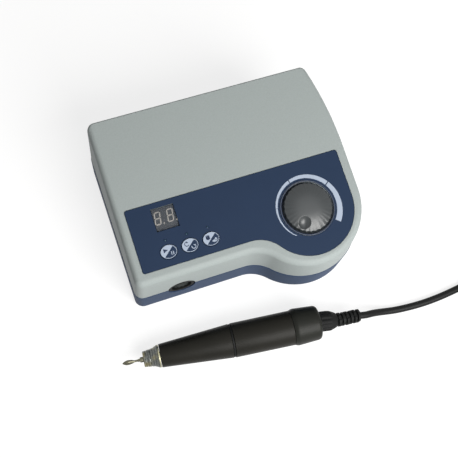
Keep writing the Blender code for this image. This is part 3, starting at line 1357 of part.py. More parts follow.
def make_hand_shell(hand):
    """What the hand holds: nose, twisting sleeve, joint ring, motor case and rear cap."""
    bore_end = NOSE_LENGTH
    profile = [
        (0, NOSE_FACE_RADIUS - NOSE_EDGE_ROUND),
        (NOSE_EDGE_ROUND, NOSE_FACE_RADIUS),
        (NOSE_NECK_END, NOSE_NECK_RADIUS),
        (NOSE_LENGTH - NOSE_EDGE_ROUND, NOSE_FLARE_RADIUS),
        (NOSE_LENGTH, NOSE_FLARE_RADIUS),
        (bore_end, HOUSING_RADIUS - HOUSING_WALL - GAP),
        (NOSE_NECK_END, NOSE_BORE_RADIUS + (SPINDLE_RADIUS - SPINDLE_BORE_RADIUS)),
        (SPINDLE_SETBACK - GAP, NOSE_BORE_RADIUS + (SPINDLE_RADIUS - SPINDLE_BORE_RADIUS)),
        (SPINDLE_SETBACK - GAP * 2, NOSE_BORE_RADIUS),
        (0, NOSE_BORE_RADIUS),
    ]
    piece("nose_cone", (turned(profile, HAND_SIDES), True), hand, "steel")
    front = NOSE_LENGTH + GAP
    rear = front + SLEEVE_LENGTH
    profile = [
        (front, SLEEVE_FRONT_RADIUS),
        (rear, SLEEVE_REAR_RADIUS),
        (rear, SLEEVE_REAR_RADIUS - SLEEVE_WALL),
        (front + SLEEVE_WALL, HOUSING_RADIUS + RUNNING_CLEARANCE),
        (front, HOUSING_RADIUS + RUNNING_CLEARANCE),
    ]
    piece("front_sleeve", (turned(profile, HAND_SIDES), True), hand, "black_plastic")
    ring_front = rear + GAP
    ring_rear = ring_front + JOINT_RING_LENGTH
    ring = tube(ring_front, ring_rear, HOUSING_RADIUS + GAP, JOINT_RING_RADIUS, HAND_SIDES)
    piece("joint_ring", ring, hand, "black_rubber")
    profile = [
        (CASE_FRONT, CASE_FRONT_RADIUS - CASE_EDGE_ROUND),
        (CASE_FRONT + CASE_EDGE_ROUND, CASE_FRONT_RADIUS),
        (CASE_END - CASE_EDGE_ROUND, CASE_REAR_RADIUS),
        (CASE_END, CASE_REAR_RADIUS - CASE_EDGE_ROUND),
        (CASE_END, MAGNET_OUTER_RADIUS + GAP),
        (CASE_FRONT + MOTOR_END_PLATE, MAGNET_OUTER_RADIUS + GAP),
        (CASE_FRONT + MOTOR_END_PLATE, MOTOR_BEARING_RADIUS + GAP),
        (CASE_FRONT, MOTOR_BEARING_RADIUS + GAP),
    ]
    piece("motor_case", (turned(profile, HAND_SIDES), True), hand, "black_plastic")
    face = CAP_END - CAP_FACE_THICKNESS
    round_cos = CAP_ROUND * (1 - math.cos(math.radians(45)))
    profile = [
        (CAP_FRONT, CASE_REAR_RADIUS),
        (CAP_FRONT + CAP_FLARE_LENGTH, CAP_FRONT_RADIUS),
        (CAP_END - CAP_ROUND, CAP_REAR_RADIUS),
        (CAP_END - round_cos, CAP_REAR_RADIUS - round_cos),
        (CAP_END, CAP_REAR_RADIUS - CAP_ROUND),
        (CAP_END, RELIEF_PLUG_RADIUS + GAP),
        (face, RELIEF_PLUG_RADIUS + GAP),
        (face, CAP_REAR_RADIUS - CAP_WALL - CAP_ROUND / 2),
        (CAP_FRONT, CASE_REAR_RADIUS - CAP_WALL),
    ]
    piece("rear_cap", (turned(profile, HAND_SIDES), True), hand, "black_plastic")


def make_spindle_group(hand):
    """The chuck's spindle with its bearings, housing and collet."""
    front = NOSE_LENGTH + GAP
    outer = HOUSING_RADIUS
    profile = [
        (front, outer),
        (HOUSING_END, outer),
        (HOUSING_END, outer - HOUSING_WALL),
        (front, outer - HOUSING_WALL),
    ]
    piece("spindle_housing", (turned(profile, HAND_SIDES), True), hand, "steel")
    race_outer = outer - HOUSING_WALL - GAP
    race_inner = SPINDLE_RADIUS + GAP
    starts = (SPINDLE_BEARING_FRONT, SPINDLE_BEARING_REAR)
    for name, start in zip(("spindle_front_bearing", "spindle_rear_bearing"), starts):
        ring = tube(start, start + SPINDLE_BEARING_LENGTH, race_inner, race_outer, INNER_SIDES)
        piece(name, ring, hand, "steel")
    spindle_end = SPINDLE_SETBACK + SPINDLE_LENGTH
    spindle = tube(SPINDLE_SETBACK, spindle_end, SPINDLE_BORE_RADIUS, SPINDLE_RADIUS, INNER_SIDES)
    piece("spindle", spindle, hand, "steel")
    bore = BUR_SHANK_RADIUS + GAP
    profile = [
        (-COLLET_NOSE, COLLET_RADIUS - COLLET_EDGE_ROUND),
        (-COLLET_NOSE + COLLET_EDGE_ROUND, COLLET_RADIUS),
        (COLLET_LENGTH - COLLET_NOSE, COLLET_RADIUS),
        (COLLET_LENGTH - COLLET_NOSE, bore),
        (-COLLET_NOSE, bore),
    ]
    collet = piece("collet", (turned(profile, INNER_SIDES), True), hand, "steel")
    half = COLLET_SLOT / 2
    slots = []
    reach = COLLET_RADIUS + CUT_OVERRUN
    for i in range(3):
        angle = math.tau * i / 3
        along = Vector((math.cos(angle), math.sin(angle), 0))
        across = Vector((-math.sin(angle), math.cos(angle), 0))
        corners = [along * BUR_SHANK_RADIUS / 2 - across * half, along * reach - across * half]
        corners += [along * reach + across * half, along * BUR_SHANK_RADIUS / 2 + across * half]
        low = -COLLET_NOSE - CUT_OVERRUN
        high = COLLET_SLOT_LENGTH - COLLET_NOSE
        slots.append([[(point.x, point.y, z) for point in corners] for z in (low, high)])
    cut(collet, hidden("collet_slots", slots, hand))
    return spindle_end


def make_bur(hand):
    tip = -BUR_TIP_REACH
    head_end = tip + BUR_HEAD_LENGTH
    profile = [(tip, BUR_TIP_RADIUS)]
    for share in (0.18, 0.38, 0.58, 0.78):
        profile.append((tip + BUR_HEAD_LENGTH * share, BUR_HEAD_RADIUS * math.sin(math.pi * share**0.8)))
    profile += [
        (head_end, BUR_NECK_RADIUS),
        (-COLLET_NOSE - BUR_SHANK_RADIUS, BUR_SHANK_RADIUS),
        (BUR_SHANK_REACH - BUR_SHANK_RADIUS / 2, BUR_SHANK_RADIUS),
        (BUR_SHANK_REACH, BUR_SHANK_RADIUS / 2),
    ]
    piece("bur", turned(profile, INNER_SIDES), hand, "steel")


def make_motor(hand, spindle_end):
    """Coupling, rotor, magnets, commutator, brushes and fan on the motor's shaft."""
    coupling_front = spindle_end + GAP
    coupling_rear = coupling_front + COUPLING_LENGTH
    race_inner = MOTOR_SHAFT_RADIUS + GAP
    starts = (("motor_front_bearing", CASE_FRONT), ("motor_rear_bearing", CASE_END - MOTOR_BEARING_LENGTH))
    for name, start in starts:
        ring = tube(start, start + MOTOR_BEARING_LENGTH, race_inner, MOTOR_BEARING_RADIUS, INNER_SIDES)
        piece(name, ring, hand, "steel")
    magnet_rear = MOTOR_FRONT + MAGNET_LENGTH
    magnet = tube(MOTOR_FRONT, magnet_rear, MAGNET_INNER_RADIUS, MAGNET_OUTER_RADIUS, INNER_SIDES)
    piece("magnet_ring", magnet, hand, "magnet")
    rotor_front = MOTOR_FRONT + (MAGNET_LENGTH - ROTOR_LENGTH) / 2
    rotor_rear = rotor_front + ROTOR_LENGTH
    rotor_bore = MOTOR_SHAFT_RADIUS + GAP
    stack = tube(rotor_front, rotor_rear, rotor_bore, ROTOR_RADIUS, INNER_SIDES)
    rotor = piece("rotor", stack, hand, "steel")
    slots = []
    half = ROTOR_SLOT_WIDTH / 2
    for i in range(ROTOR_SLOT_COUNT):
        angle = math.tau * i / ROTOR_SLOT_COUNT
        along = Vector((math.cos(angle), math.sin(angle), 0))
        across = Vector((-math.sin(angle), math.cos(angle), 0))
        near = ROTOR_RADIUS - ROTOR_SLOT_DEPTH
        far = ROTOR_RADIUS + CUT_OVERRUN
        corners = [along * near - across * half, along * far - across * half]
        corners += [along * far + across * half, along * near + across * half]
        ends = (rotor_front - CUT_OVERRUN, rotor_rear + CUT_OVERRUN)
        slots.append([[(p.x, p.y, z) for p in corners] for z in ends])
    cut(rotor, hidden("rotor_slots", slots, hand))
    windings = []
    winding_rear = rotor_rear + WINDING_LENGTH
    for low, high in ((rotor_front - WINDING_LENGTH, rotor_front + GAP), (rotor_rear - GAP, winding_rear)):
        windings.append(tube(low, high, WINDING_INNER_RADIUS, WINDING_RADIUS, INNER_SIDES))
    add_on(rotor, hidden("rotor_windings", windings, hand))
    commutator_low = winding_rear + GAP
    commutator_high = commutator_low + COMMUTATOR_LENGTH
    commutator = tube(commutator_low, commutator_high, rotor_bore, COMMUTATOR_RADIUS, INNER_SIDES)
    piece("commutator", commutator, hand, "copper")
    fan_low = CASE_END + GAP + MOTOR_STEP
    fan_high = fan_low + FAN_LENGTH
    profile = [
        (coupling_front, COUPLING_RADIUS),
        (coupling_rear, COUPLING_RADIUS),
        (coupling_rear, MOTOR_SHAFT_RADIUS),
        (fan_high + MOTOR_STEP, MOTOR_SHAFT_RADIUS),
    ]
    piece("motor_shaft", turned(profile, INNER_SIDES), hand, "steel")
    radii = (BRUSH_RING_INNER_RADIUS, BRUSH_RING_OUTER_RADIUS)
    ring = tube(commutator_low, commutator_high, *radii, INNER_SIDES)
    holder = piece("brush_holder", ring, hand, "black_plastic")
    half = BRUSH_WIDTH / 2
    middle = (commutator_low + commutator_high) / 2
    near = COMMUTATOR_RADIUS + RUNNING_CLEARANCE
    brushes = []
    for side in (-1, 1):
        low_y, high_y = sorted((side * near, side * (near + BRUSH_LENGTH)))
        brushes.append(block((-half, low_y, middle - half), (half, high_y, middle + half)))
    add_on(holder, hidden("carbon_brushes", brushes, hand))
    hub = tube(fan_low, fan_high, rotor_bore, FAN_HUB_RADIUS, INNER_SIDES)
    fan = piece("cooling_fan", hub, hand, "black_plastic")
    blades = []
    half = FAN_BLADE_THICKNESS / 2
    for i in range(FAN_BLADE_COUNT):
        angle = math.tau * i / FAN_BLADE_COUNT
        along = Vector((math.cos(angle), math.sin(angle), 0))
        across = Vector((-math.sin(angle), math.cos(angle), 0))
        near = FAN_HUB_RADIUS - FAN_BLADE_THICKNESS
        corners = [along * near - across * half, along * FAN_RADIUS - across * half]
        corners += [along * FAN_RADIUS + across * half, along * near + across * half]
        blades.append([[(p.x, p.y, z) for p in corners] for z in (fan_low + GAP, fan_high - GAP)])
    add_on(fan, hidden("fan_blades", blades, hand))


def relief_axis(along):
    """The strain relief's axis at this length from the nose: its place and the way it runs.

    It leaves the cap straight and bends down and a little forwards, its offset growing
    with the square of the length from the cap's end. On the way it bows forwards, by most
    in the middle and by nothing at both ends.
    """
    share = max(along - CAP_END, 0) / RELIEF_LENGTH
    rest = 1 - share
    bow = 16 * RELIEF_BOW * share**2 * rest**2
    place = Vector((RELIEF_DROOP * share**2, -RELIEF_SWAY * share**2 - bow, along))
    slope = 2 * share / RELIEF_LENGTH
    turn = 32 * RELIEF_BOW * share * rest * (rest - share) / RELIEF_LENGTH
    return place, Vector((RELIEF_DROOP * slope, -RELIEF_SWAY * slope - turn, 1)).normalized()


def bent(rings):
    """Moves rings turned round Z onto the strain relief's axis, each square to it."""
    moved = []
    for ring in rings:
        place, way = relief_axis(ring[0][2])
        down = Vector((way.z, 0, -way.x)).normalized()
        side = way.cross(down)
        moved.append([place + down * x + side * y for x, y, _ in ring])
    return moved


def make_strain_relief(hand):
    face = CAP_END + GAP
    plug_front = CAP_END - CAP_FACE_THICKNESS - GAP
    grip_end = face + RELIEF_GRIP_LENGTH
    ribs_start = grip_end + RELIEF_TAPER_LENGTH
    profile = [
        (plug_front, RELIEF_PLUG_RADIUS),
        (face, RELIEF_PLUG_RADIUS),
        (face, RELIEF_GRIP_RADIUS),
        (grip_end - RELIEF_GRIP_LENGTH / 4, RELIEF_GRIP_RADIUS),
        (grip_end, RELIEF_GRIP_RADIUS * 0.96),
        (ribs_start, RELIEF_NECK_RADIUS * 1.08),
    ]
    end = ribs_start
    for i in range(RELIEF_RIB_COUNT):
        low = ribs_start + i * RELIEF_RIB_PITCH
        profile += [
            (low + RELIEF_RIB_PITCH * 0.3, RELIEF_RIB_RADIUS),
            (low + RELIEF_RIB_PITCH * 0.8, RELIEF_RIB_RADIUS),
            (low + RELIEF_RIB_PITCH * 0.95, RELIEF_NECK_RADIUS),
        ]
        end = low + RELIEF_RIB_PITCH * 0.95
    piece("strain_relief", bent(turned(profile, INNER_SIDES)), hand, "black_rubber", smooth_deg=30.0)
    return end


def smooth_points(route, count):
    """Reads evenly spaced points from a smooth curve (centripetal, through every route point)."""
    points = [Vector(point) for point in route]
    padded = [points[0] * 2 - points[1]] + points + [points[-1] * 2 - points[-2]]
    dense = []
    steps = 24
    for a, b, c, d in zip(padded, padded[1:], padded[2:], padded[3:]):
        knots = [0.0]
        for near, far in ((a, b), (b, c), (c, d)):
            knots.append(knots[-1] + math.sqrt((far - near).length))
        for i in range(steps):
            t = knots[1] + (knots[2] - knots[1]) * i / steps
            ab = a.lerp(b, (t - knots[0]) / (knots[1] - knots[0]))
            bc = b.lerp(c, (t - knots[1]) / (knots[2] - knots[1]))
            cd = c.lerp(d, (t - knots[2]) / (knots[3] - knots[2]))
            abc = ab.lerp(bc, (t - knots[0]) / (knots[2] - knots[0]))
            bcd = bc.lerp(cd, (t - knots[1]) / (knots[3] - knots[1]))
            dense.append(abc.lerp(bcd, (t - knots[1]) / (knots[2] - knots[1])))
    dense.append(points[-1])
    lengths = [0.0]
    for near, far in zip(dense, dense[1:]):
        lengths.append(lengths[-1] + (far - near).length)
    even = []
    place = 0
    for i in range(count):
        target = lengths[-1] * i / (count - 1)
        while place < len(lengths) - 2 and lengths[place + 1] < target:
            place += 1
        span = lengths[place + 1] - lengths[place]
        even.append(dense[place].lerp(dense[place + 1], (target - lengths[place]) / span))
    return even


def coil_points():
    """The coil: turns that spiral in on the surface and out again a layer higher.

    The radius shrinks steadily to the half turn in the middle, where the cord climbs
    one layer, and grows steadily after it. The last quarter turn steps outwards and down
    to the height at which the plug lies, and each end runs straight for one diameter.
    """
    steps = round(COIL_TURNS * COIL_POINTS_A_TURN)
    half = COIL_TURNS / 2
    climb_from = half - 1 / 4
    climb_to = half + 1 / 4
    inner = COIL_MEAN_RADIUS - COIL_TURNS_PITCH * climb_from / 2
    bottom = CORD_RADIUS + COIL_FLOOR_GAP
    points = []
    for i in range(steps + 1):
        turn = COIL_TURNS * i / steps
        radius = inner + COIL_TURNS_PITCH * max(climb_from - turn, turn - climb_to, 0)
        climbed = min(max((turn - climb_from) / (climb_to - climb_from), 0), 1)
        easing = min(max((turn - COIL_TURNS) / COIL_EASE_TURNS + 1, 0), 1)
        ease = easing * easing * (3 - 2 * easing)
        radius += COIL_STEP_OUT * ease
        height = bottom + COIL_LAYER_PITCH * climbed
        height += (PLUG_GRIP_RADIUS - height) * ease
        angle = math.radians(COIL_START_DEG) - math.tau * turn
        x = COIL_CENTRE_X + radius * math.cos(angle)
        y = COIL_CENTRE_Y + radius * math.sin(angle)
        points.append(Vector((x, y, height)))
    return points


def straight_ends(points, before, after):
    """Adds a straight run of these lengths before and after, level, along the way the tube is going."""
    start_angle = math.radians(COIL_START_DEG)
    into = Vector((math.sin(start_angle), -math.cos(start_angle), 0))
    end_angle = start_angle - math.tau * COIL_TURNS
    out = Vector((math.sin(end_angle), -math.cos(end_angle), 0))
    first = points[0] - into * before
    last = points[-1] + out * after
    return [first] + points + [last], into, out


def least_gap(points, radius, away):
    """Least free space between stretches of a tube that are more than a few points apart."""
    best = math.inf
    for i in range(len(points)):
        for j in range(i + away, len(points)):
            best = min(best, (points[i] - points[j]).length)
    return best - 2 * radius


def cord_tube(name, points, parent, resolution):
    curve = bpy.data.curves.new(name, "CURVE")
    curve.dimensions = "3D"
    curve.bevel_depth = CORD_RADIUS
    curve.bevel_resolution = resolution
    curve.use_fill_caps = True
    spline = curve.splines.new("POLY")
    spline.points.add(len(points) - 1)
    for spot, point in zip(spline.points, points):
        spot.co = (*point, 1.0)
    curve.materials.append(new_material(name, "black_rubber"))
    obj = bpy.data.objects.new(name, curve)
    obj.parent = parent
    bpy.context.scene.collection.objects.link(obj)
    return obj


def make_cord(floor, hand, relief_end):
    """The free cord from the strain relief to the coil, the coil, and the way out of the coil."""
    coil, into, out = straight_ends(coil_points(), CORD_RADIUS * 2, COIL_LEAD_OUT)
    print("least gap between the coil's turns, in metres:", round(least_gap(coil, CORD_RADIUS, 12), 6))
    to_floor = floor.matrix_world.inverted() @ hand.matrix_world
    place, way = relief_axis(relief_end)
    exit_point = to_floor @ (place + way * GAP)
    direction = (to_floor.to_3x3() @ way).normalized()
    straight = exit_point + direction * CORD_RADIUS * 2
    coil_face = coil[0] - into * GAP
    lead_in = coil_face - into * CORD_RADIUS * 2
    route = [exit_point, straight] + [Vector(point) for point in CORD_ROUTE] + [lead_in, coil_face]
    cord_tube("handpiece_cord", smooth_points(route, CORD_POINT_COUNT), floor, 2)
    cord_tube("cord_coil", coil, floor, 1)
    return coil[-1], out


def make_plug(floor, start, out):
    """The plug, turned round the line on which the cord leaves the coil."""
    down = Vector((0, 0, -1))
    turn = Matrix((down, out.cross(down), out)).transposed()
    frame = new_frame("plug_frame", floor, start + out * GAP, turn)
    grip_low = PLUG_RELIEF_LENGTH
    grip_high = grip_low + PLUG_GRIP_LENGTH
    profile = [
        (0, CORD_RADIUS * 1.25),
        (PLUG_RELIEF_LENGTH * 0.9, PLUG_RELIEF_RADIUS),
        (grip_low, PLUG_GRIP_RADIUS - PLUG_GRIP_ROUND),
        (grip_low + PLUG_GRIP_ROUND, PLUG_GRIP_RADIUS),
        (grip_high - PLUG_GRIP_ROUND, PLUG_GRIP_RADIUS),
        (grip_high, PLUG_GRIP_RADIUS - PLUG_GRIP_ROUND),
    ]
    piece("plug_grip", turned(profile, MEDIUM_SIDES), frame, "black_plastic")
    low = grip_high + GAP
    high = low + PLUG_SHELL_LENGTH
    shell_floor = low + PLUG_SHELL_WALL * 2
    profile = [
        (low, PLUG_SHELL_RADIUS),
        (high, PLUG_SHELL_RADIUS),
        (high, PLUG_SHELL_RADIUS - PLUG_SHELL_WALL),
        (shell_floor, PLUG_SHELL_RADIUS - PLUG_SHELL_WALL),
    ]
    shell = piece("plug_shell", turned(profile, MEDIUM_SIDES), frame, "steel")
    pin_low = shell_floor - PLUG_SHELL_WALL
    pin_high = pin_low + PLUG_PIN_LENGTH
    pins = [rod(pin_low, pin_high, PLUG_PIN_RADIUS, SMALL_SIDES, xy) for xy in contact_places()]
    add_on(shell, hidden("plug_pins", pins, frame))


def settle_origin(part, loose_names):
    """Moves the part so that the origin lies under the middle of all but the cord and its plug."""
    bpy.context.view_layer.update()
    graph = bpy.context.evaluated_depsgraph_get()
    low = Vector((math.inf,) * 3)
    high = Vector((-math.inf,) * 3)
    for obj in bpy.context.scene.objects:
        if obj.type != "MESH" or obj.hide_render or obj.name in loose_names:
            continue
        shape = obj.evaluated_get(graph)
        for vertex in shape.data.vertices:
            point = shape.matrix_world @ vertex.co
            low = Vector(map(min, low, point))
            high = Vector(map(max, high, point))
    part.location -= Vector(((low.x + high.x) / 2, (low.y + high.y) / 2, low.z))
    bpy.context.view_layer.update()


def build():
    clear_scene()
    part = new_frame("micromotor")
    box = new_frame("box_frame", part, (0, 0, FOOT_HEIGHT))
    panel = new_frame("panel_frame", box, (0, 0, TOP_FRONT_HEIGHT), Matrix.Rotation(TOP_SLOPE, 3, "X"))
    base_shell = make_base_shell(box)
    top_shell = make_top_shell(box, panel)
    make_feet_and_screws(box)
    make_panel(panel)
    make_display(panel)
    make_buttons(panel)
    make_panel_board(panel)
    make_dial(panel)
    make_socket(box, top_shell, base_shell)
    make_rear(box, top_shell)
    make_transformer(box)
    make_main_board(box)
    hand = make_hand_frame(box)
    make_hand_shell(hand)
    spindle_end = make_spindle_group(hand)
    make_bur(hand)
    make_motor(hand, spindle_end)
    relief_end = make_strain_relief(hand)
    bpy.context.view_layer.update()
    floor = new_frame("floor_frame", part)
    bpy.context.view_layer.update()
    start, out = make_cord(floor, hand, relief_end)
    make_plug(floor, start, out)
    settle_origin(part, {"plug_grip", "plug_shell"})


build()
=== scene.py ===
"""Looks of the dental lab micromotor: its control box, its handpiece, and the cord and plug.

Everything is in metres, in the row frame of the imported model. The main sizes are
those of the part's own source, repeated here because this script reads no other file.
"""

import json
import math

import bmesh
import bpy
import numpy as np
from mathutils import Matrix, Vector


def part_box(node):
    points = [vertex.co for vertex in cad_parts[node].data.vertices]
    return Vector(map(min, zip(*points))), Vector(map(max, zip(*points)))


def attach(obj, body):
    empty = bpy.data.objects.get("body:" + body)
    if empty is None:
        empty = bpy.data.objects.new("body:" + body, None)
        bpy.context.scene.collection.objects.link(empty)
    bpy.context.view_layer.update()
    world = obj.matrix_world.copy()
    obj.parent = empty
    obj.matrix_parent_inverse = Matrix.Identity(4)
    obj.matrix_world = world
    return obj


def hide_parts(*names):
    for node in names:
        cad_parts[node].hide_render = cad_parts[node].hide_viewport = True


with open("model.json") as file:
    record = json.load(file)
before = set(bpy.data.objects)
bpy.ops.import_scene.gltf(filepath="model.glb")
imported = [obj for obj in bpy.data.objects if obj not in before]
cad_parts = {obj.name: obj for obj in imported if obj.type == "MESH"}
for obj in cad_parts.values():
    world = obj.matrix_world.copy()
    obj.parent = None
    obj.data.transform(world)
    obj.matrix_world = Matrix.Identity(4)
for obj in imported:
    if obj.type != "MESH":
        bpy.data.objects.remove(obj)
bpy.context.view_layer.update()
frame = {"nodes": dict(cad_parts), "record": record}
NODES = frame["nodes"]
BODY_OF = {n: b for b, names in frame["record"]["behaviour"]["bodies"].items() for n in names}

# Driving sizes: the box's plan and heights, and where its front left corner stands

WIDTH, DEPTH, WALL, GAP = 0.1858, 0.1268, 0.0024, 0.0003
PARTING, FRONT_HEIGHT, FRONT_LINE = 0.0251, 0.0543, -0.0008
CORNER_X, CORNER_Y, FOOT = -0.080698, -0.030042, 0.003
SLOPE = math.radians(9.8)


# Frames of the object's parts

def frame_at(origin, x, y, z):
    """A frame as a 4 by 4 array: three axes in columns, then the origin."""
    turned_axes = np.eye(4)
    turned_axes[:3, :3] = np.transpose([x, y, z])
    turned_axes[:3, 3] = origin
    return turned_axes


def moved(place, x, y):
    """The same frame with its origin moved by x and y along its own axes."""
    shifted = place.copy()
    shifted[:3, 3] = place[:3, :3] @ (x, y, 0) + place[:3, 3]
    return shifted


ACROSS, BACK, UP = np.eye(3)
LEVEL, RISE = math.cos(SLOPE), math.sin(SLOPE)
BOX = frame_at((CORNER_X, CORNER_Y, FOOT), ACROSS, BACK, UP)
PANEL = frame_at((CORNER_X, CORNER_Y, FOOT + FRONT_HEIGHT), ACROSS, (0, LEVEL, RISE), (0, -RISE, LEVEL))
SOCKET = frame_at((CORNER_X + 0.035, CORNER_Y + FRONT_LINE, FOOT + PARTING), ACROSS, UP, -BACK)
SIDEWAYS = frame_at((0, 0, 0), ACROSS, UP, BACK)
HAND = frame_at(
    (-0.089098, -0.071242, 0.011467),
    (0.024566, -0.002882, -0.999694),
    (0.116497, 0.993191, 0),
    (0.992887, -0.116461, 0.024735),
)
PLUG_HEIGHT = 0.0078
PLUG = frame_at((0.251624, -0.149186, PLUG_HEIGHT), -UP, (0.997564, 0.069756, 0), (0.069756, -0.997564, 0))


# Solids: each is (points, faces), closed, and made of whole arrays

def lofted(grid, ring=False):
    """Rows of points joined by quads. Each row is closed round; the first and last row
    are filled, or joined to each other in a ring."""
    grid = np.asarray(grid, float)
    rows, columns = grid.shape[:2]
    r = np.arange(rows if ring else rows - 1)[:, None]
    c = np.arange(columns)
    here, there = r * columns, (r + 1) % rows * columns
    nxt = (c + 1) % columns
    faces = np.stack([here + c, here + nxt, there + nxt, there + c], -1).reshape(-1, 4).tolist()
    if not ring:
        faces += [list(range(columns))[::-1], list(range((rows - 1) * columns, rows * columns))]
    return grid.reshape(-1, 3), faces


def circle(sides):
    """Even angles round a whole turn."""
    return math.tau * np.arange(sides) / sides


def rounded(radius, t, height, centre=(0, 0)):
    """A grid of points over rows and angles: x = r cos t, y = r sin t, from a centre."""
    x, y = centre[0] + radius * np.cos(t), centre[1] + radius * np.sin(t)
    return np.stack([x, y, np.broadcast_to(height, x.shape)], -1)


def turned(profile, sides=96, centre=(0, 0), ring=False):
    """A profile of (height, radius) carried round an axis."""
    height, radius = np.asarray(profile, float).T[..., None]
    return lofted(rounded(radius, circle(sides), height, centre), ring)


def rod(low, high, radius, centre=(0, 0), sides=24):
    """A straight round bar, or the tool for a bore."""
    return turned([(low, radius), (high, radius)], sides, centre)


def at_height(flat, height):
    """Flat points given one height, or one each."""
    return np.column_stack([flat, np.broadcast_to(height, len(flat))])


def stacked(outlines):
    """Flat outlines, each (points in the plane, height), joined one above the other."""
    return lofted([at_height(flat, height) for flat, height in outlines])


def plate(outline, low, high, edge=0.0):
    """A flat outline given a thickness; a round edge draws the top in towards the middle."""
    outline = np.asarray(outline, float)
    if not edge:
        return stacked([(outline, low), (outline, high)])
    middle = outline.mean(0)
    reach = outline - middle
    rows = [(outline, low)]
    for a in np.linspace(0, math.pi / 2, 4):
        share = 1 - edge * (1 - math.cos(a)) / np.abs(reach).max(0)
        rows.append((middle + reach * share, high - edge * (1 - math.sin(a))))
    return stacked(rows)


def joined(*solids):
    """Several solids as one."""
    points, faces, start = [], [], 0
    for spots, sides in solids:
        points.append(spots)
        faces += [[start + i for i in side] for side in sides]
        start += len(spots)
    return np.concatenate(points), faces


def eased(corners, radius, closed=False, steps=4):
    """A profile with its corners rounded: at each, a parabola touches the two edges at
    the distance a round of this radius would, or at 45 hundredths of a short edge."""
    spots = np.asarray(corners, float)
    radii = np.broadcast_to(radius, len(spots))
    t = np.linspace(0, 1, steps + 1)[:, None]
    out = []
    for i, spot in enumerate(spots):
        before, after = spots[i - 1] - spot, spots[(i + 1) % len(spots)] - spot
        back, on = np.linalg.norm(before), np.linalg.norm(after)
        half = math.acos(np.clip(before @ after / (back * on), -1, 1)) / 2
        touch = min(radii[i] / max(math.tan(half), 1e-6), 0.45 * back, 0.45 * on)
        if half > 1.55 or touch < 1e-6 or (not closed and i in (0, len(spots) - 1)):
            out.append(spot[None])
            continue
        first, last = spot + before / back * touch, spot + after / on * touch
        out.append((1 - t) ** 2 * first + 2 * t * (1 - t) * spot + t**2 * last)
    return np.concatenate(out)


def oval(half_x, half_y, centre=(0, 0), first_deg=0.0, last_deg=360.0, steps=72):
    """Points on an ellipse; a whole one leaves out its last point."""
    t = np.radians(np.linspace(first_deg, last_deg, steps + 1))
    spots = np.column_stack([centre[0] + half_x * np.cos(t), centre[1] + half_y * np.sin(t)])
    return spots[:-1] if last_deg - first_deg >= 360 else spots


def arc(centre, radius, first_deg, last_deg, steps):
    """Points on a circle from one angle to another."""
    return oval(radius, radius, centre, first_deg, last_deg, steps)


def block(low, high, edge=0.0):
    """A box between two corners."""
    (x0, y0, z0), (x1, y1, z1) = low, high
    return plate([(x0, y0), (x1, y0), (x1, y1), (x0, y1)], z0, z1, edge)


# Pieces

def tidy(mesh, outward=True):
    """Merges doubles, so that seams and poles close, and turns the faces outwards."""
    work = bmesh.new()
    work.from_mesh(mesh)
    bmesh.ops.remove_doubles(work, verts=work.verts, dist=1e-7)
    bmesh.ops.dissolve_degenerate(work, edges=work.edges, dist=1e-8)
    if outward:
        bmesh.ops.recalc_face_normals(work, faces=work.faces)
    work.to_mesh(mesh)
    work.free()
    return mesh


def mesh_of(name, solid, place):
    """A mesh of a solid in its frame: point = axes times point, plus origin."""
    points, faces = solid
    mesh = bpy.data.meshes.new(name)
    mesh.from_pydata((points @ place[:3, :3].T + place[:3, 3]).tolist(), [], faces)
    return tidy(mesh)


def linked(name, data):
    thing = bpy.data.objects.new(name, data)
    bpy.context.scene.collection.objects.link(thing)
    return thing


def carved(name, solid, place, joins=(), cuts=()):
    """A mesh of a solid with others joined to it and more cut out of it, each in its frame."""
    body = linked(name, mesh_of(name, solid, place))
    tools = []
    for operation, pairs in (("UNION", joins), ("DIFFERENCE", cuts)):
        for tool, where in pairs:
            other = linked(name + "_tool", mesh_of(name + "_tool", tool, where))
            step = body.modifiers.new(operation, "BOOLEAN")
            step.operation, step.object, step.solver = operation, other, "EXACT"
            tools.append(other)
    bpy.context.view_layer.update()
    mesh = bpy.data.meshes.new_from_object(body.evaluated_get(bpy.context.evaluated_depsgraph_get()))
    for thing in [body] + tools:
        bpy.data.objects.remove(thing)
    return tidy(mesh, outward=False)


def show(name, mesh, finish, body, stands_for=(), sharp_deg=32.0, even=False):
    """Shades a mesh smooth up to an angle, gives it its finish and puts it on its body."""
    mesh.name = name
    mesh.shade_smooth()
    mesh.set_sharp_from_angle(angle=math.radians(sharp_deg))
    mesh.materials.clear()
    mesh.materials.append(finish)
    piece = linked(name, mesh)
    if even:
        piece.modifiers.new("even shading", "WEIGHTED_NORMAL").keep_sharp = True
    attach(piece, body)
    if stands_for:
        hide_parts(*stands_for)
    return piece


def make(name, solid, place, finish, body, stands_for=(), sharp_deg=32.0):
    return show(name, mesh_of(name, solid, place), finish, body, stands_for, sharp_deg)


def instead(node, solid, place, finish, sharp_deg=32.0):
    """A finer piece that stands for one node of the part."""
    return make(node + "_finish", solid, place, finish, BODY_OF[node], [node], sharp_deg)


def carved_instead(node, solid, place, joins, cuts, finish, sharp_deg=30.0, even=False):
    """A carved piece that stands for one node of the part."""
    name = node + "_finish"
    return show(name, carved(name, solid, place, joins, cuts), finish, BODY_OF[node], [node], sharp_deg, even)


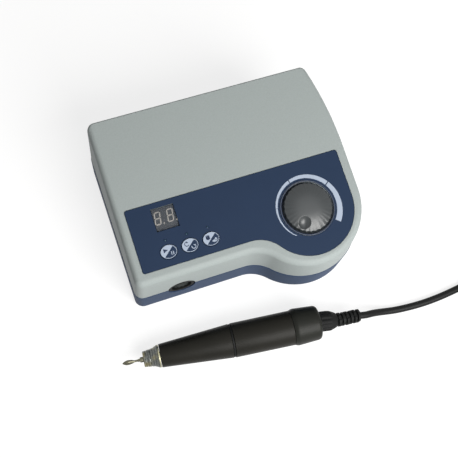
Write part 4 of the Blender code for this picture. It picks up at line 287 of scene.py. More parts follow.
def softened(node, finish):
    """A merged copy of a node, flat faces made whole and edges eased, that stands for it."""
    mesh = NODES[node].data.copy()
    work = bmesh.new()
    work.from_mesh(mesh)
    bmesh.ops.remove_doubles(work, verts=work.verts, dist=1e-6)
    bmesh.ops.dissolve_limit(work, angle_limit=0.01, verts=work.verts, edges=work.edges)
    work.to_mesh(mesh)
    work.free()
    piece = show(node + "_finish", mesh, finish, BODY_OF[node], [node], 28.0)
    bevel = piece.modifiers.new("eased edges", "BEVEL")
    bevel.width, bevel.segments, bevel.limit_method = 0.0002, 2, "ANGLE"
    bevel.angle_limit, bevel.use_clamp_overlap = math.radians(40), True


# Finishes: colours are given as they look on a screen

def shade(red, green, blue, share=1.0):
    """Screen values from 0 to 255 as linear light: ((v + 0.055) / 1.055) to the power 2.4."""
    v = np.array([red, green, blue]) / 255
    light = np.where(v <= 0.04045, v / 12.92, ((v + 0.055) / 1.055) ** 2.4) * share
    return (*np.clip(light, 0, 1).tolist(), 1.0)


def feed(tree, socket, value):
    """Joins an input to another node's output, or sets it to a value."""
    if isinstance(value, bpy.types.NodeSocket):
        tree.links.new(value, socket)
    else:
        socket.default_value = value


def node(tree, kind, settings=None, **inputs):
    """Adds a shader node and feeds the inputs that are named."""
    made = tree.nodes.new("ShaderNode" + kind)
    for key, value in (settings or {}).items():
        setattr(made, key, value)
    for key, value in inputs.items():
        feed(tree, made.inputs[key.replace("_", " ")], value)
    return made


def computed(tree, kind, operation, *values):
    """A node whose first inputs are fed in turn; gives its first output."""
    made = node(tree, kind, {"operation": operation} if operation else {})
    for socket, value in zip(made.inputs, values):
        feed(tree, socket, value)
    return made.outputs[0]


def ramp(tree, fac, *stops):
    """Two colours or greys along a value, as (place, colour)."""
    made = node(tree, "ValToRGB", Fac=fac)
    for element, (place, colour) in zip(made.color_ramp.elements, stops):
        element.position = place
        element.color = colour if isinstance(colour, tuple) else (colour, colour, colour, 1)
    return made.outputs["Color"]


def blended(tree, share, first, second, way="MIX"):
    """Two colours mixed or multiplied, by a share."""
    made = node(tree, "Mix", {"data_type": "RGBA", "blend_type": way})
    for place, value in zip((0, 6, 7), (share, first, second)):
        feed(tree, made.inputs[place], value)
    return made.outputs[2]


def noise(tree, spots, scale, detail=3.0, roughness=0.5):
    made = node(tree, "TexNoise", Vector=spots, Scale=scale, Detail=detail, Roughness=roughness)
    return made.outputs["Fac"]


def bands(tree, spots, scale, distortion, detail=2.0):
    """Waves from 0 to 1 along the frame's Z axis."""
    along = {"bands_direction": "Z"}
    wave = node(tree, "TexWave", along, Vector=spots, Scale=scale, Distortion=distortion, Detail=detail)
    return wave.outputs["Fac"]


def ranged(tree, value, low, high, start=0.0, end=1.0):
    """A value between start and end carried over to low and high, evenly, and held there."""
    made = node(tree, "MapRange", Value=value, From_Min=start, From_Max=end, To_Min=low, To_Max=high)
    return made.outputs["Result"]


def spots_of(tree, place=None):
    """Object coordinates, or the same read in a frame of the object's."""
    spots = node(tree, "TexCoord").outputs["Object"]
    if place is None:
        return spots
    back = Matrix(place.tolist()).inverted()
    turn = node(tree, "Mapping", Vector=spots, Location=back.to_translation(), Rotation=back.to_euler())
    return turn.outputs["Vector"]


def new_finish(name):
    finish = bpy.data.materials.new(name)
    finish.use_nodes = True
    finish.node_tree.nodes.clear()
    return finish, finish.node_tree


def close_finish(finish, tree, height=None, strength=0.0, depth=0.0, **values):
    """Ends a finish with one shader; a height, where there is one, becomes a bump."""
    if height is not None:
        bump = node(tree, "Bump", Height=height, Strength=strength, Distance=depth)
        values["Normal"] = bump.outputs["Normal"]
    shader = node(tree, "BsdfPrincipled", **values)
    node(tree, "OutputMaterial", Surface=shader.outputs["BSDF"])
    return finish


def moulded(
    name, colour, rough, spread=0.06, grain=2600.0, depth=0.00002, strength=0.35, patch=38.0, shine=0.5
):
    """Moulded plastic or rubber: a faint cloudiness, a fine grain in height and in gloss."""
    finish, tree = new_finish(name)
    spots = spots_of(tree)
    fine = noise(tree, spots, grain, roughness=0.6)
    low, high = shade(*colour, 1 - spread), shade(*colour, 1 + spread)
    tone = ramp(tree, noise(tree, spots, patch), (0.32, low), (0.68, high))
    gloss = ranged(tree, fine, rough - 0.05, rough + 0.06, 0.3, 0.7)
    looks = {"Base_Color": tone, "Roughness": gloss, "Specular_IOR_Level": shine}
    return close_finish(finish, tree, fine, strength, depth, **looks)


def turned_metal(name, colour, rough, place, scale=900.0, spread=0.1):
    """Metal off a lathe: fine rings along the frame's axis, broken up by a little noise."""
    finish, tree = new_finish(name)
    spots = spots_of(tree, place)
    rings = bands(tree, spots, scale, 1.5)
    low, high = shade(*colour, 1 - spread), shade(*colour, 1 + spread)
    tone = ramp(tree, noise(tree, spots, 260.0), (0.3, low), (0.7, high))
    gloss = ranged(tree, rings, rough - 0.05, rough + 0.1)
    return close_finish(finish, tree, rings, 0.25, 0.00001, Base_Color=tone, Metallic=1.0, Roughness=gloss)


def banded(name, first, second, place, scale, metallic=0.0, rough=0.45):
    """Bands across the frame's Z axis, as of wound wire or of a stack of plates."""
    finish, tree = new_finish(name)
    wave = bands(tree, spots_of(tree, place), scale, 0.3, 1.0)
    tone = ramp(tree, wave, (0.25, shade(*first)), (0.75, shade(*second)))
    return close_finish(finish, tree, wave, 0.6, 0.00005, Base_Color=tone, Metallic=metallic, Roughness=rough)


def board_finish(name, place):
    """A printed board: green lacquer over slightly raised, paler tracks on a grid."""
    finish, tree = new_finish(name)
    spots = spots_of(tree, place)
    flat, raised = (0, 0, 0, 1), (1, 1, 1, 1)
    grid = {"Scale": 260.0, "Mortar_Size": 0.035, "Color1": flat, "Color2": flat, "Mortar": raised}
    cells = node(tree, "TexBrick", Vector=spots, **grid)
    patch = ramp(tree, noise(tree, spots, 90.0, 1.0), (0.45, 0.0), (0.5, 1.0))
    tracks = computed(tree, "Math", "MULTIPLY", cells.outputs["Color"], patch)
    tone = ramp(tree, tracks, (0.2, shade(24, 92, 52)), (0.8, shade(70, 140, 84)))
    return close_finish(finish, tree, tracks, 0.4, 0.00004, Base_Color=tone, Roughness=0.35)


def grip_shade_streaked(name, colour, rough, place):
    """Moulded plastic with painted light and shade of its grips: faint darker and lighter streaks
    that run out from the frame's axis, a noise read at the direction from the axis, which grows with the
    distance from it."""
    finish, tree = new_finish(name)
    flat = computed(tree, "VectorMath", "MULTIPLY", spots_of(tree, place), (1, 1, 0))
    way = computed(tree, "VectorMath", "NORMALIZE", flat)
    far = node(tree, "VectorMath", {"operation": "LENGTH"}, Vector=flat).outputs["Value"]
    low, high = shade(*colour, 0.7), shade(*colour, 1.25)
    # painted light and shade: streaks darker and lighter than the plastic, standing for the shading on the
    # grips
    painted_grip_shade = ramp(tree, noise(tree, way, 15.0, 3.0, 0.65), (0.36, low), (0.66, high))
    tone = blended(tree, ranged(tree, far, 0.0, 1.0, 0.003, 0.016), shade(*colour), painted_grip_shade)
    fine = noise(tree, spots_of(tree), 2600.0)
    looks = {"Base_Color": tone, "Roughness": rough, "Specular_IOR_Level": 0.7}
    return close_finish(finish, tree, fine, 0.4, 0.00002, **looks)


def smoked_film():
    """The display's window: a dark film, clear enough to show the digits under it."""
    finish, tree = new_finish("smoked window")
    cloud = noise(tree, spots_of(tree), 400.0, 2.0)
    tone = ramp(tree, cloud, (0.3, shade(60, 68, 82)), (0.7, shade(68, 76, 90)))
    return close_finish(finish, tree, Base_Color=tone, Roughness=0.2, Alpha=0.22, Specular_IOR_Level=0.25)


def patched_steel_with_painted_rim():
    """The nose's steel: grey and dull brass in patches, with dark bands round its axis, and
    a pale rim at its rear end, which is a painted highlight where the rear flange catches the light."""
    finish, tree = new_finish("nose steel")
    spots = spots_of(tree, HAND)
    fine = noise(tree, spots, 900.0, 4.0, 0.7)
    grey = ramp(tree, fine, (0.35, shade(84, 88, 87)), (0.68, shade(124, 126, 122)))
    brass = ramp(tree, fine, (0.35, shade(112, 106, 80)), (0.68, shade(160, 154, 120)))
    patch = ramp(tree, noise(tree, spots, 80.0, 2.0), (0.42, 0.0), (0.58, 1.0))
    dark = ramp(tree, bands(tree, spots, 170.0, 2.5), (0.1, 0.62), (0.6, 1.0))
    patched = blended(tree, 1.0, blended(tree, patch, grey, brass), dark, "MULTIPLY")
    along = node(tree, "SeparateXYZ", Vector=spots).outputs["Z"]
    # painted highlight: the rear rim of the nose turns pale
    tone = blended(tree, ranged(tree, along, 0.0, 1.0, 0.0116, 0.0119), patched, shade(176, 172, 142))
    gloss = ranged(tree, fine, 0.24, 0.42)
    return close_finish(finish, tree, fine, 0.1, 0.00002, Base_Color=tone, Metallic=1.0, Roughness=gloss)


DIAL = (0.1402, 0.0204)
SHELL_GREY = moulded("shell grey", (160, 168, 167), 0.5, 0.04, 1500, 0.00003, 0.4, 1100.0, shine=0.18)
SHELL_BLUE = moulded("base blue", (57, 73, 99), 0.5, 0.03, 1500, 0.00003, shine=0.05)
PANEL_FILM = moulded("panel film", (30, 47, 72), 0.45, 0.03, 3200, 0.00001, 0.25, shine=0.16)
PRINT_WHITE = moulded("printed white", (172, 184, 202), 0.5, 0.02, 3200, 0.00001, 0.2, shine=0.2)
PRINT_NAVY = moulded("printed navy", (35, 48, 74), 0.5, 0.03, 3200, 0.00001, 0.2, shine=0.2)
BEZEL_GREY = moulded("bezel grey", (50, 62, 84), 0.25, 0.04, 2600, 0.00001, 0.2)
WELL_DARK = moulded("dial well", (26, 34, 52), 0.6, 0.05, shine=0.2)
BLACK_SATIN = moulded("handpiece black", (28, 27, 23), 0.42, 0.1, 2200, 0.00003, 0.45, shine=0.12)
CAP_SATIN = moulded("cap black", (29, 30, 26), 0.42, 0.1, 2200, 0.00003, 0.45, shine=0.15)
BLACK_MOULDED = moulded("fitting black", (28, 29, 31), 0.45, 0.1, shine=0.3)
BLACK_RUBBER = moulded("rubber black", (17, 18, 18), 0.6, 0.12, 1500, 0.00005, 0.5, shine=0.15)
CORD_BLACK = moulded("cord sheath", (17, 18, 18), 0.45, 0.12, 1300, 0.00004, 0.4, shine=0.15)
CORE_GREY = moulded("contact insert", (34, 38, 37), 0.6, 0.2, shine=0.1)
DISPLAY_FACE = moulded("display face", (103, 105, 106), 0.5, 0.08, 3000, 0.00001, 0.2, shine=0.1)
DIGIT_PALE = moulded("unlit segments", (246, 240, 230), 0.5, 0.04, 3000, 0.00001, 0.2, shine=0.1)
LAMP_PALE = moulded("unlit lamps", (46, 62, 92), 0.3, 0.05, 1500, 0.00001, 0.2, shine=0.25)
PLATE_DARK = moulded("rear plate", (46, 47, 50), 0.45, 0.08, shine=0.3)
NYLON_WHITE = moulded("bobbin nylon", (205, 201, 186), 0.5, 0.05)
CAN_BLUE = moulded("capacitor sleeve", (44, 52, 92), 0.35, 0.06)
MAGNET_DARK = moulded("sintered magnet", (66, 64, 62), 0.6, 0.15, 900, 0.00008, 0.6)
STEEL_HAND = turned_metal("turned steel", (168, 166, 156), 0.24, HAND)
STEEL_BUR = turned_metal("bur steel", (100, 98, 84), 0.3, HAND, 1600.0, 0.3)
STEEL_PLUG = turned_metal("plated steel", (182, 182, 180), 0.25, PLUG)
STEEL_BOX = turned_metal("zinc plated steel", (178, 178, 170), 0.3, BOX)
BRASS = turned_metal("brass", (200, 170, 100), 0.28, HAND)
ALUMINIUM = turned_metal("brushed aluminium", (196, 198, 200), 0.36, BOX, 500.0)
COPPER_WIRE = banded("copper winding", (132, 70, 36), (206, 132, 80), HAND, 500.0, 1.0, 0.35)
COIL_TAPE = banded("winding tape", (196, 168, 60), (214, 190, 92), SIDEWAYS, 240.0)
CORE_PLATES = banded("core plates", (96, 96, 98), (150, 150, 150), SIDEWAYS, 620.0, 1.0, 0.4)
BOARD_GREEN = board_finish("board green", BOX)
PANEL_BOARD_GREEN = board_finish("panel board green", PANEL)
# the knob's plastic, with painted streaks of light and shade from its grips
KNOB_GREY = grip_shade_streaked("knob charcoal", (37, 42, 44), 0.38, moved(PANEL, *DIAL))
SMOKED = smoked_film()
STEEL_NOSE = patched_steel_with_painted_rim()


# Camera and cord

camera = linked("camera", bpy.data.cameras.new("camera"))
camera.data.lens, camera.data.sensor_width = 60.4, 36.0
camera.data.clip_start, camera.data.clip_end = 0.01, 20.0
camera.matrix_world = Matrix(
    (
        (0.939988, 0.287931, -0.18308, -0.106185),
        (-0.331018, 0.899678, -0.284618, -0.168957),
        (0.082763, 0.32814, 0.940996, 0.593644),
        (0, 0, 0, 1),
    )
)
bpy.context.scene.camera = camera

CORD_RADIUS = 0.0028
CORD_ROUTE = [(0.1736, -0.0634, 0.0087), (0.1793, -0.0639, 0.0064), (0.185, -0.0647, 0.0047)]
CORD_ROUTE += [(0.19, -0.0655, 0.0037), (0.195, -0.0662, 0.0032), (0.206, -0.0673, 0.003)]
CORD_ROUTE += [(0.22, -0.0679, 0.003), (0.235, -0.0674, 0.003), (0.25, -0.066, 0.003)]
CORD_ROUTE += [(0.265, -0.0642, 0.003)]
CAP_END, RELIEF_LENGTH, RELIEF_END = 0.1375, 0.0334, 0.17104
RELIEF_DOWN, RELIEF_ON, RELIEF_BOW = 0.0037, 0.001, 0.016


def relief_axis(along):
    """The strain relief's axis at lengths from the nose: it bends down and forwards with
    the square of the share of its length, and bows forwards as s^2 (1 - s)^2."""
    share = np.maximum(np.asarray(along, float) - CAP_END, 0) / RELIEF_LENGTH
    rest = 1 - share
    forwards = RELIEF_ON * share**2 + RELIEF_BOW * share**2 * rest**2
    place = np.stack([RELIEF_DOWN * share**2, -forwards, along], -1)
    slope = 2 * share / RELIEF_LENGTH
    turn = slope * (RELIEF_ON + RELIEF_BOW * rest * (1 - 2 * share))
    way = np.stack([RELIEF_DOWN * slope, -turn, np.ones_like(share)], -1)
    return place, way / np.linalg.norm(way, axis=-1, keepdims=True)


def coil_line():
    """The coil's centreline: in a spiral on the floor, then out again a layer higher. Its
    radius is the inner one plus the pitch times the turns from the half turn in the
    middle, where it climbs a layer; the last quarter turn steps out to the plug's height."""
    turns, pitch, half_way_radius, layer, step_out = 6.25, 0.0072, 0.0292, 0.0066, 0.005
    turn = np.linspace(0, turns, round(turns * 48) + 1)
    climb_from, climb_to = turns / 2 - 0.25, turns / 2 + 0.25
    share = np.clip((turn - turns) / 0.25 + 1, 0, 1)
    ease = share**2 * (3 - 2 * share)
    inner = half_way_radius - pitch * climb_from / 2
    radius = inner + pitch * np.maximum(np.maximum(climb_from - turn, turn - climb_to), 0) + step_out * ease
    height = CORD_RADIUS + 0.0001 + layer * np.clip((turn - climb_from) / 0.5, 0, 1)
    height += (PLUG_HEIGHT - height) * ease
    angle = math.radians(94) - math.tau * turn
    line = rounded(radius, angle, height, (0.2865, -0.1025))
    ways = np.column_stack([np.sin(angle), -np.cos(angle), np.zeros(len(angle))])
    return line, ways[0], ways[-1]


def even_line(route, count):
    """Evenly spaced points of a smooth curve through the route: a cubic in each span whose
    slopes at its ends come from the neighbouring points, spaced by root distance."""
    p = np.asarray(route, float)
    p = np.vstack([2 * p[0] - p[1], p, 2 * p[-1] - p[-2]])
    knots = np.concatenate([[0], np.cumsum(np.sqrt(np.linalg.norm(np.diff(p, axis=0), axis=1)))])
    k = [knots[i : len(knots) - 3 + i][:, None, None] for i in range(4)]
    q = [p[i : len(p) - 3 + i][:, None, :] for i in range(4)]
    t = k[1] + (k[2] - k[1]) * (np.arange(24) / 24)[None, :, None]

    def blend(a, b, low, high):
        return a + (b - a) * (t - low) / (high - low)

    first, second, third = (blend(q[i], q[i + 1], k[i], k[i + 1]) for i in range(3))
    left, right = blend(first, second, k[0], k[2]), blend(second, third, k[1], k[3])
    dense = np.vstack([blend(left, right, k[1], k[2]).reshape(-1, 3), p[-2]])
    run = np.concatenate([[0], np.cumsum(np.linalg.norm(np.diff(dense, axis=0), axis=1))])
    spots = np.linspace(0, run[-1], count)
    return np.column_stack([np.interp(spots, run, dense[:, i]) for i in range(3)])


def make_cord():
    """The sheath as one curve: from the strain relief down to the bench, into the coil,
    round it, and out to the plug."""
    shift = (CORNER_X, CORNER_Y, 0)
    place, way = relief_axis(RELIEF_END)
    way = HAND[:3, :3] @ way
    leave = HAND[:3, :3] @ place + HAND[:3, 3] + way * GAP
    coil, into, out = coil_line()
    coil = coil + shift
    start = coil[0] - into * CORD_RADIUS * 2
    free = [leave, leave + way * CORD_RADIUS * 2]
    free += [np.array(point) + shift for point in CORD_ROUTE] + [start - into * CORD_RADIUS * 2, start]
    line = np.vstack([even_line(free, 40), coil, coil[-1] + out * 0.0195, coil[-1] + out * 0.0225])
    curve = bpy.data.curves.new("cord", "CURVE")
    curve.dimensions, curve.bevel_depth, curve.bevel_resolution = "3D", CORD_RADIUS, 5
    curve.use_fill_caps = True
    spline = curve.splines.new("POLY")
    spline.points.add(len(line) - 1)
    spline.points.foreach_set("co", np.column_stack([line, np.ones(len(line))]).ravel())
    spline.use_smooth = True
    curve.materials.append(CORD_BLACK)
    cord = linked("cord_sheath", curve)
    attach(cord, BODY_OF["handpiece_cord"])
    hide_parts("handpiece_cord", "cord_coil")
    return cord, leave, float(np.linalg.norm(np.diff(line, axis=0), axis=1).sum())


# Control box: the two shells

LOBE_RADIUS, POST_RADIUS = 0.0474, 0.0042
SOCKET_HOLE = (rod(-0.0055, 0.004, 0.0107, sides=96), SOCKET)


def corner(x, y, radius, first_deg):
    """A quarter circle in a corner whose edges meet at x and y."""
    middle = math.radians(first_deg + 45)
    inward = (x - math.copysign(radius, math.cos(middle)), y - math.copysign(radius, math.sin(middle)))
    return arc(inward, radius, first_deg, first_deg + 90, 8)


def bowed_corner(right, far, radius, start, bow_radius):
    """The right side from where its straight part ends: a wide arc turns in, and the
    corner's arc touches it and the back: cos(lean) and sin(lean) share the radii's difference."""
    middle_x, reach = right - bow_radius, bow_radius - radius
    lean = math.asin((far - radius - start) / reach)
    touch = (middle_x + reach * math.cos(lean), far - radius)
    degrees = math.degrees(lean)
    side = arc((middle_x, start), bow_radius, 0, degrees, 24)
    return np.concatenate([side, arc(touch, radius, degrees, 90, 8)[1:]])


def lobed(left, front, back, lobe, lobe_radius, waist_radius, corner_radius, inset, back_inset, bow=()):
    """A rectangle whose right front corner swells into a round lobe, which a hollow arc
    joins to the straight front. An inset moves every side inwards by the same amount."""
    right, near, far, side = lobe[0] + lobe_radius - inset, front + inset, back - back_inset, left + inset
    radius = max(corner_radius - inset, 0.001)
    reach, rise = lobe_radius + waist_radius, lobe[1] - front + waist_radius
    waist = (lobe[0] - math.sqrt(reach**2 - rise**2), front - waist_radius)
    meet = math.degrees(math.asin(rise / reach))
    return np.concatenate([
        corner(side, near, radius, 180),
        arc(waist, waist_radius + inset, 90, meet, 24),
        arc(lobe, lobe_radius - inset, 180 + meet, 360, 72)[1:],
        bowed_corner(right, far, radius, bow[0], bow[1] - inset) if bow else corner(right, far, radius, 0),
        corner(side, far, radius, 90),
    ])


def box_plan(inset=0.0, back_inset=None):
    """The box's plan: its lobe is at the right front and its right side is bowed."""
    back_inset = inset if back_inset is None else back_inset
    lobe, bow = (WIDTH - LOBE_RADIUS, 0.0239), (0.0585, 0.252)
    return lobed(-0.0009, FRONT_LINE, DEPTH, lobe, LOBE_RADIUS, 0.0256, 0.007, inset, back_inset, bow)


def panel_plan(inset=0.0):
    """The panel's plan, whose lobe runs round the dial."""
    return lobed(0.0083, 0.0091, 0.0571, DIAL, 0.0362, 0.026, 0.0018, inset, inset)


def level(inset, height):
    """A flat ring of the box's plan at a height."""
    return at_height(box_plan(inset), height)


def roof(side, back, drop):
    """A ring that follows the sloped top: height = front height + y tan(slope) - drop."""
    plan = box_plan(side, back)
    return at_height(plan, FRONT_HEIGHT + plan[:, 1] * math.tan(SLOPE) - drop)


def middle_of(name):
    """The middle of a node's box, from above, in the box's frame."""
    low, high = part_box(name)
    return tuple((low[i] + high[i]) / 2 - BOX[i, 3] for i in (0, 1))


CASE_SCREWS = [n for n in NODES if n.startswith("case_screw")]
SCREW_PLACES = [middle_of(n) for n in CASE_SCREWS]
BUTTONS = {"run": 0.0307, "direction": 0.04695, "control": 0.0632}
BUTTON_ALONG, LAMP_ALONG = 0.0194, 0.0283
KEY_X, KEY_Y = 0.0064, 0.0053
WINDOW, WINDOW_HALF = (0.0356, 0.0442), 0.0084


def window_block(half, low, high, edge=0.0):
    """A square block round the middle of the display's window."""
    x, y = WINDOW
    return block((x - half, y - half, low), (x + half, y + half, high), edge)


def roof_openings(ease):
    """Holes for the window, the three keys, their lamps and the dial's bushing."""
    low, high = -0.0075, 0.004
    holes = [window_block(WINDOW_HALF + ease, low, high)]
    for x in BUTTONS.values():
        holes.append(plate(oval(KEY_X + ease, KEY_Y + ease, (x, BUTTON_ALONG)), low, high))
        holes.append(rod(low, high, 0.00115, (x, LAMP_ALONG)))
    holes.append(rod(low, high, 0.0041 + ease, DIAL, 48))
    return joined(*holes)


def make_top_shell():
    """The roof's edge is a quarter ellipse from wall to top; wall and roof have one thickness."""
    side, back, edge, back_edge = 0.0015, 0.0005, 0.0045, 0.002
    rows = []
    for a in np.radians(np.linspace(90, 0, 10)):
        fall = 1 - math.cos(a)
        rows.append(roof(side + edge * fall, back + back_edge * fall, edge * (1 - math.sin(a))))
    start = PARTING + GAP
    rows += [level(0.0003, start + 0.0004), level(0.0004, start + 0.0001), level(0.0006, start)]
    rows += [level(WALL, start), roof(WALL + side, WALL + back, WALL + edge / 2)]
    rows.append(roof(WALL + side + edge / 2, WALL + back + back_edge / 2, WALL))
    posts = [rod(start, 0.0532 + 0.1727 * y, POST_RADIUS, (x, y)) for x, y in SCREW_PLACES]
    pin = [(-0.015, 0.0012), (-0.0122, 0.0012), (-0.0122, 0.0026), (-0.0017, 0.0026)]
    board_corners = [(0.0202, 0.0127), (0.0768, 0.0127), (0.0768, 0.0528), (0.0202, 0.0528)]
    pins = [turned(pin, 24, xy) for xy in board_corners]
    cuts = [
        (joined(*[rod(0, 0.0347, 0.0017, xy) for xy in SCREW_PLACES]), BOX),
        (plate(panel_plan(-GAP), -0.0011, 0.004), PANEL),
        (roof_openings(GAP), PANEL),
        SOCKET_HOLE,
        (block((0.032, DEPTH - WALL - 0.0048, 0.0305), (0.153, 0.131, 0.0632)), BOX),
    ]
    joins = [(joined(*posts), BOX), (joined(*pins), PANEL)]
    carved_instead("top_shell", lofted(rows), BOX, joins, cuts, SHELL_GREY, even=True)


def make_base_shell():
    """The foot of the wall is a quarter circle, the wall leans out to the parting, and a
    lip stands inside the top shell."""
    foot, step = 0.0008, 0.0012
    rows = []
    for a in np.radians(np.linspace(90, 0, 6)):
        rows.append(level(0.0002 + foot * (1 - math.cos(a)), foot * (1 - math.sin(a))))
    lip, top = WALL + GAP, PARTING + 0.002
    rows += [level(0, PARTING - 0.0004), level(0.0001, PARTING - 0.0001), level(0.0003, PARTING)]
    rows += [level(lip, PARTING), level(lip, top), level(lip + step, top)]
    rows += [level(lip + step, 0.0036), level(lip + step + 0.001, 0.0026)]
    posts = [rod(0.0013, PARTING - GAP, POST_RADIUS, xy) for xy in SCREW_PLACES]
    pin = [(0.0013, 0.003), (0.0086, 0.003), (0.0086, 0.0012), (0.0111, 0.0012)]
    x, y = middle_of("main_board")
    posts += [turned(pin, 24, (x + i * 0.03115, y + j * 0.02237)) for i in (-1, 1) for j in (-1, 1)]
    screw_bore = [(-0.004, 0.0032), (0.009, 0.0032), (0.009, 0.0017), (0.0271, 0.0017)]
    cuts = [(joined(*[turned(screw_bore, 32, xy) for xy in SCREW_PLACES]), BOX), SOCKET_HOLE]
    carved_instead("base_shell", lofted(rows), BOX, [(joined(*posts), BOX)], cuts, SHELL_BLUE, even=True)


# Panel, dial, display and keys

def make_panel():
    """The printed sheet with its eased top edge, the window, the dial's washer and its ring."""
    low, top = -0.0008, 0.0001
    edge = [(0, low), (0, -top), (0.0001, top / 2), (0.0002, top)]
    rows = [(panel_plan(inset), height) for inset, height in edge]
    cuts = [(roof_openings(GAP), PANEL), (rod(-0.005, 0.004, 0.0214, DIAL, 128), PANEL)]
    carved_instead("panel_overlay", stacked(rows), PANEL, (), cuts, PANEL_FILM, even=True)
    instead("display_window", window_block(WINDOW_HALF, low, top, 0.0001), PANEL, SMOKED)
    washer = [(-0.00108, 0.0047), (-0.00078, 0.0047), (-0.00078, 0.0199), (-0.00108, 0.0199)]
    washer = turned(eased(washer, 0.00005, True), 128, DIAL, True)
    make("dial_washer", washer, PANEL, WELL_DARK, "control_box")
    ring = [(low, 0.0211), (0.0008, 0.0211), (0.0008, 0.0202), (low, 0.0202)]
    instead("dial_bezel", turned(eased(ring, 0.0003, True, 6), 160, DIAL, True), PANEL, BEZEL_GREY)


def make_scale():
    """The speed scale: a strip round the dial whose outer edge moves out evenly with the
    angle, clockwise from its thin start, in four stretches."""
    inner, thin, wide, start, sweep = 0.0229, 0.0234, 0.0274, 229.6, 269.3
    stretches = []
    for first, last in ((start, 165.6), (164.9, 107.9), (106.2, 34.6), (32.8, start - sweep)):
        outer = thin + (wide - thin) * (start - np.linspace(first, last, 60)) / sweep
        strip = [arc(DIAL, inner, first, last, 59), arc(DIAL, outer, first, last, 59)[::-1]]
        stretches.append(plate(np.concatenate(strip), 0.00008, 0.00015))
    make("speed_scale", joined(*stretches), PANEL, PRINT_WHITE, "control_box")


def make_knob():
    """The knob as height and radius over a polar grid: its bore and cavity, its flank, and
    a dome whose height falls with the radius to the power 2.5. Soft grips, as the cosine
    of 30 times an uneven angle, fade out from the edge over flank and top. The finger
    spot is dished: its depth falls with the square of the distance from its middle."""
    low, high, edge, dome_radius = -0.0005, 0.0063, 0.0193, 0.0184
    spot, spot_reach, spot_radius = math.radians(236), 0.0126, 0.0048
    t = circle(480)
    flank = np.linspace(0, 1, 12)
    dome = np.linspace(dome_radius, 0, 90)
    hollow = [(0, 0.0045), (0.0033, 0.0045), (0.0033, 0.0019), (0.0078, 0.0019), (0.0078, low), (0.0189, low)]
    hollow_radius, hollow_height = np.transpose(hollow)
    radius = np.concatenate([hollow_radius, edge + (dome_radius - edge) * flank, dome])
    fall = 0.0038 * (dome / dome_radius) ** 2.5
    height = np.concatenate([hollow_height, low + 0.0003 + 0.0027 * flank, high - fall])
    row = np.arange(len(radius))
    top_rows = row > len(hollow) + len(flank) - 1
    wave = 0.5 + 0.5 * np.cos(30 * t + 0.9 * np.sin(3 * t + 1) + 0.6 * np.sin(7 * t))
    on_side = np.interp(row, [6, 8, 17, 30], [0, 1, 1, 0])
    on_top = np.interp(radius, [0.0095, 0.014, 0.0171, 0.0186], [0, 0.5, 1, 0.5]) * top_rows
    grid = rounded(radius[:, None] - 0.0003 * on_side[:, None] * wave, t, height[:, None])
    spot_x, spot_y = spot_reach * math.cos(spot), spot_reach * math.sin(spot)
    away = np.hypot(grid[..., 0] - spot_x, grid[..., 1] - spot_y) / spot_radius
    dish = 0.0024 * np.clip(1 - away**2, 0, 1) * top_rows[:, None]
    grid[..., 2] -= 0.0001 * on_top[:, None] * wave + dish
    instead("speed_knob", lofted(grid), moved(PANEL, *DIAL), KNOB_GREY, 38.0)


def segment_plates(centre_x, centre_y, low, high):
    """One digit: seven slanted bars with pointed ends, and its point."""
    half_x, half_y, bar, gap = 0.002, 0.0045, 0.00042, 0.00016
    slant = math.tan(math.radians(8))
    end, side = np.array([(-1, 0), (-1, -1), (1, -1), (1, 0), (1, 1), (-1, 1)]).T
    bars = [(0, i * half_y, half_x, False) for i in (-1, 0, 1)]
    bars += [(i * half_x, j * half_y / 2, half_y / 2, True) for i in (-1, 1) for j in (-1, 1)]
    solids = []
    for x, y, reach, upright in bars:
        along = end * (reach - gap - bar * np.abs(side))
        spots = np.column_stack([side * bar, along] if upright else [along, side * bar]) + (x, y)
        spots[:, 0] += spots[:, 1] * slant
        solids.append(plate(spots + (centre_x, centre_y), low, high))
    solids.append(rod(low, high, 0.0006, (centre_x + half_x + 0.0017, centre_y - half_y)))
    return solids


def make_display():
    """The module's face fills the opening under the window, and the digits stand on it."""
    face = -0.00165
    instead("display_module", window_block(WINDOW_HALF - 0.00015, -0.0101, face, 0.0002), PANEL, DISPLAY_FACE)
    digits = []
    for side in (-1, 1):
        digits += segment_plates(0.0352 + side * 0.0048, 0.0453, face - 0.0002, face + 0.0004)
    make("display_digits", joined(*digits), PANEL, DIGIT_PALE, "control_box")


def arrow_round(centre, radius, first, last, low, high):
    """A bent arrow: a strip on a circle and a triangle at its end."""
    half, half_head, way = 0.00025, 0.00075, math.copysign(1, last - first)
    outer, inner = arc(centre, radius + half, first, last, 24), arc(centre, radius - half, last, first, 24)
    end, tip = np.radians([last, last + way * 62])
    reach = [(radius - half_head, end), (radius + half_head, end), (radius, tip)]
    head = [centre + r * np.array([math.cos(t), math.sin(t)]) for r, t in reach]
    strip = plate(np.concatenate([outer, inner]), low, high)
    return [strip, plate(head if way > 0 else head[::-1], low, high)]


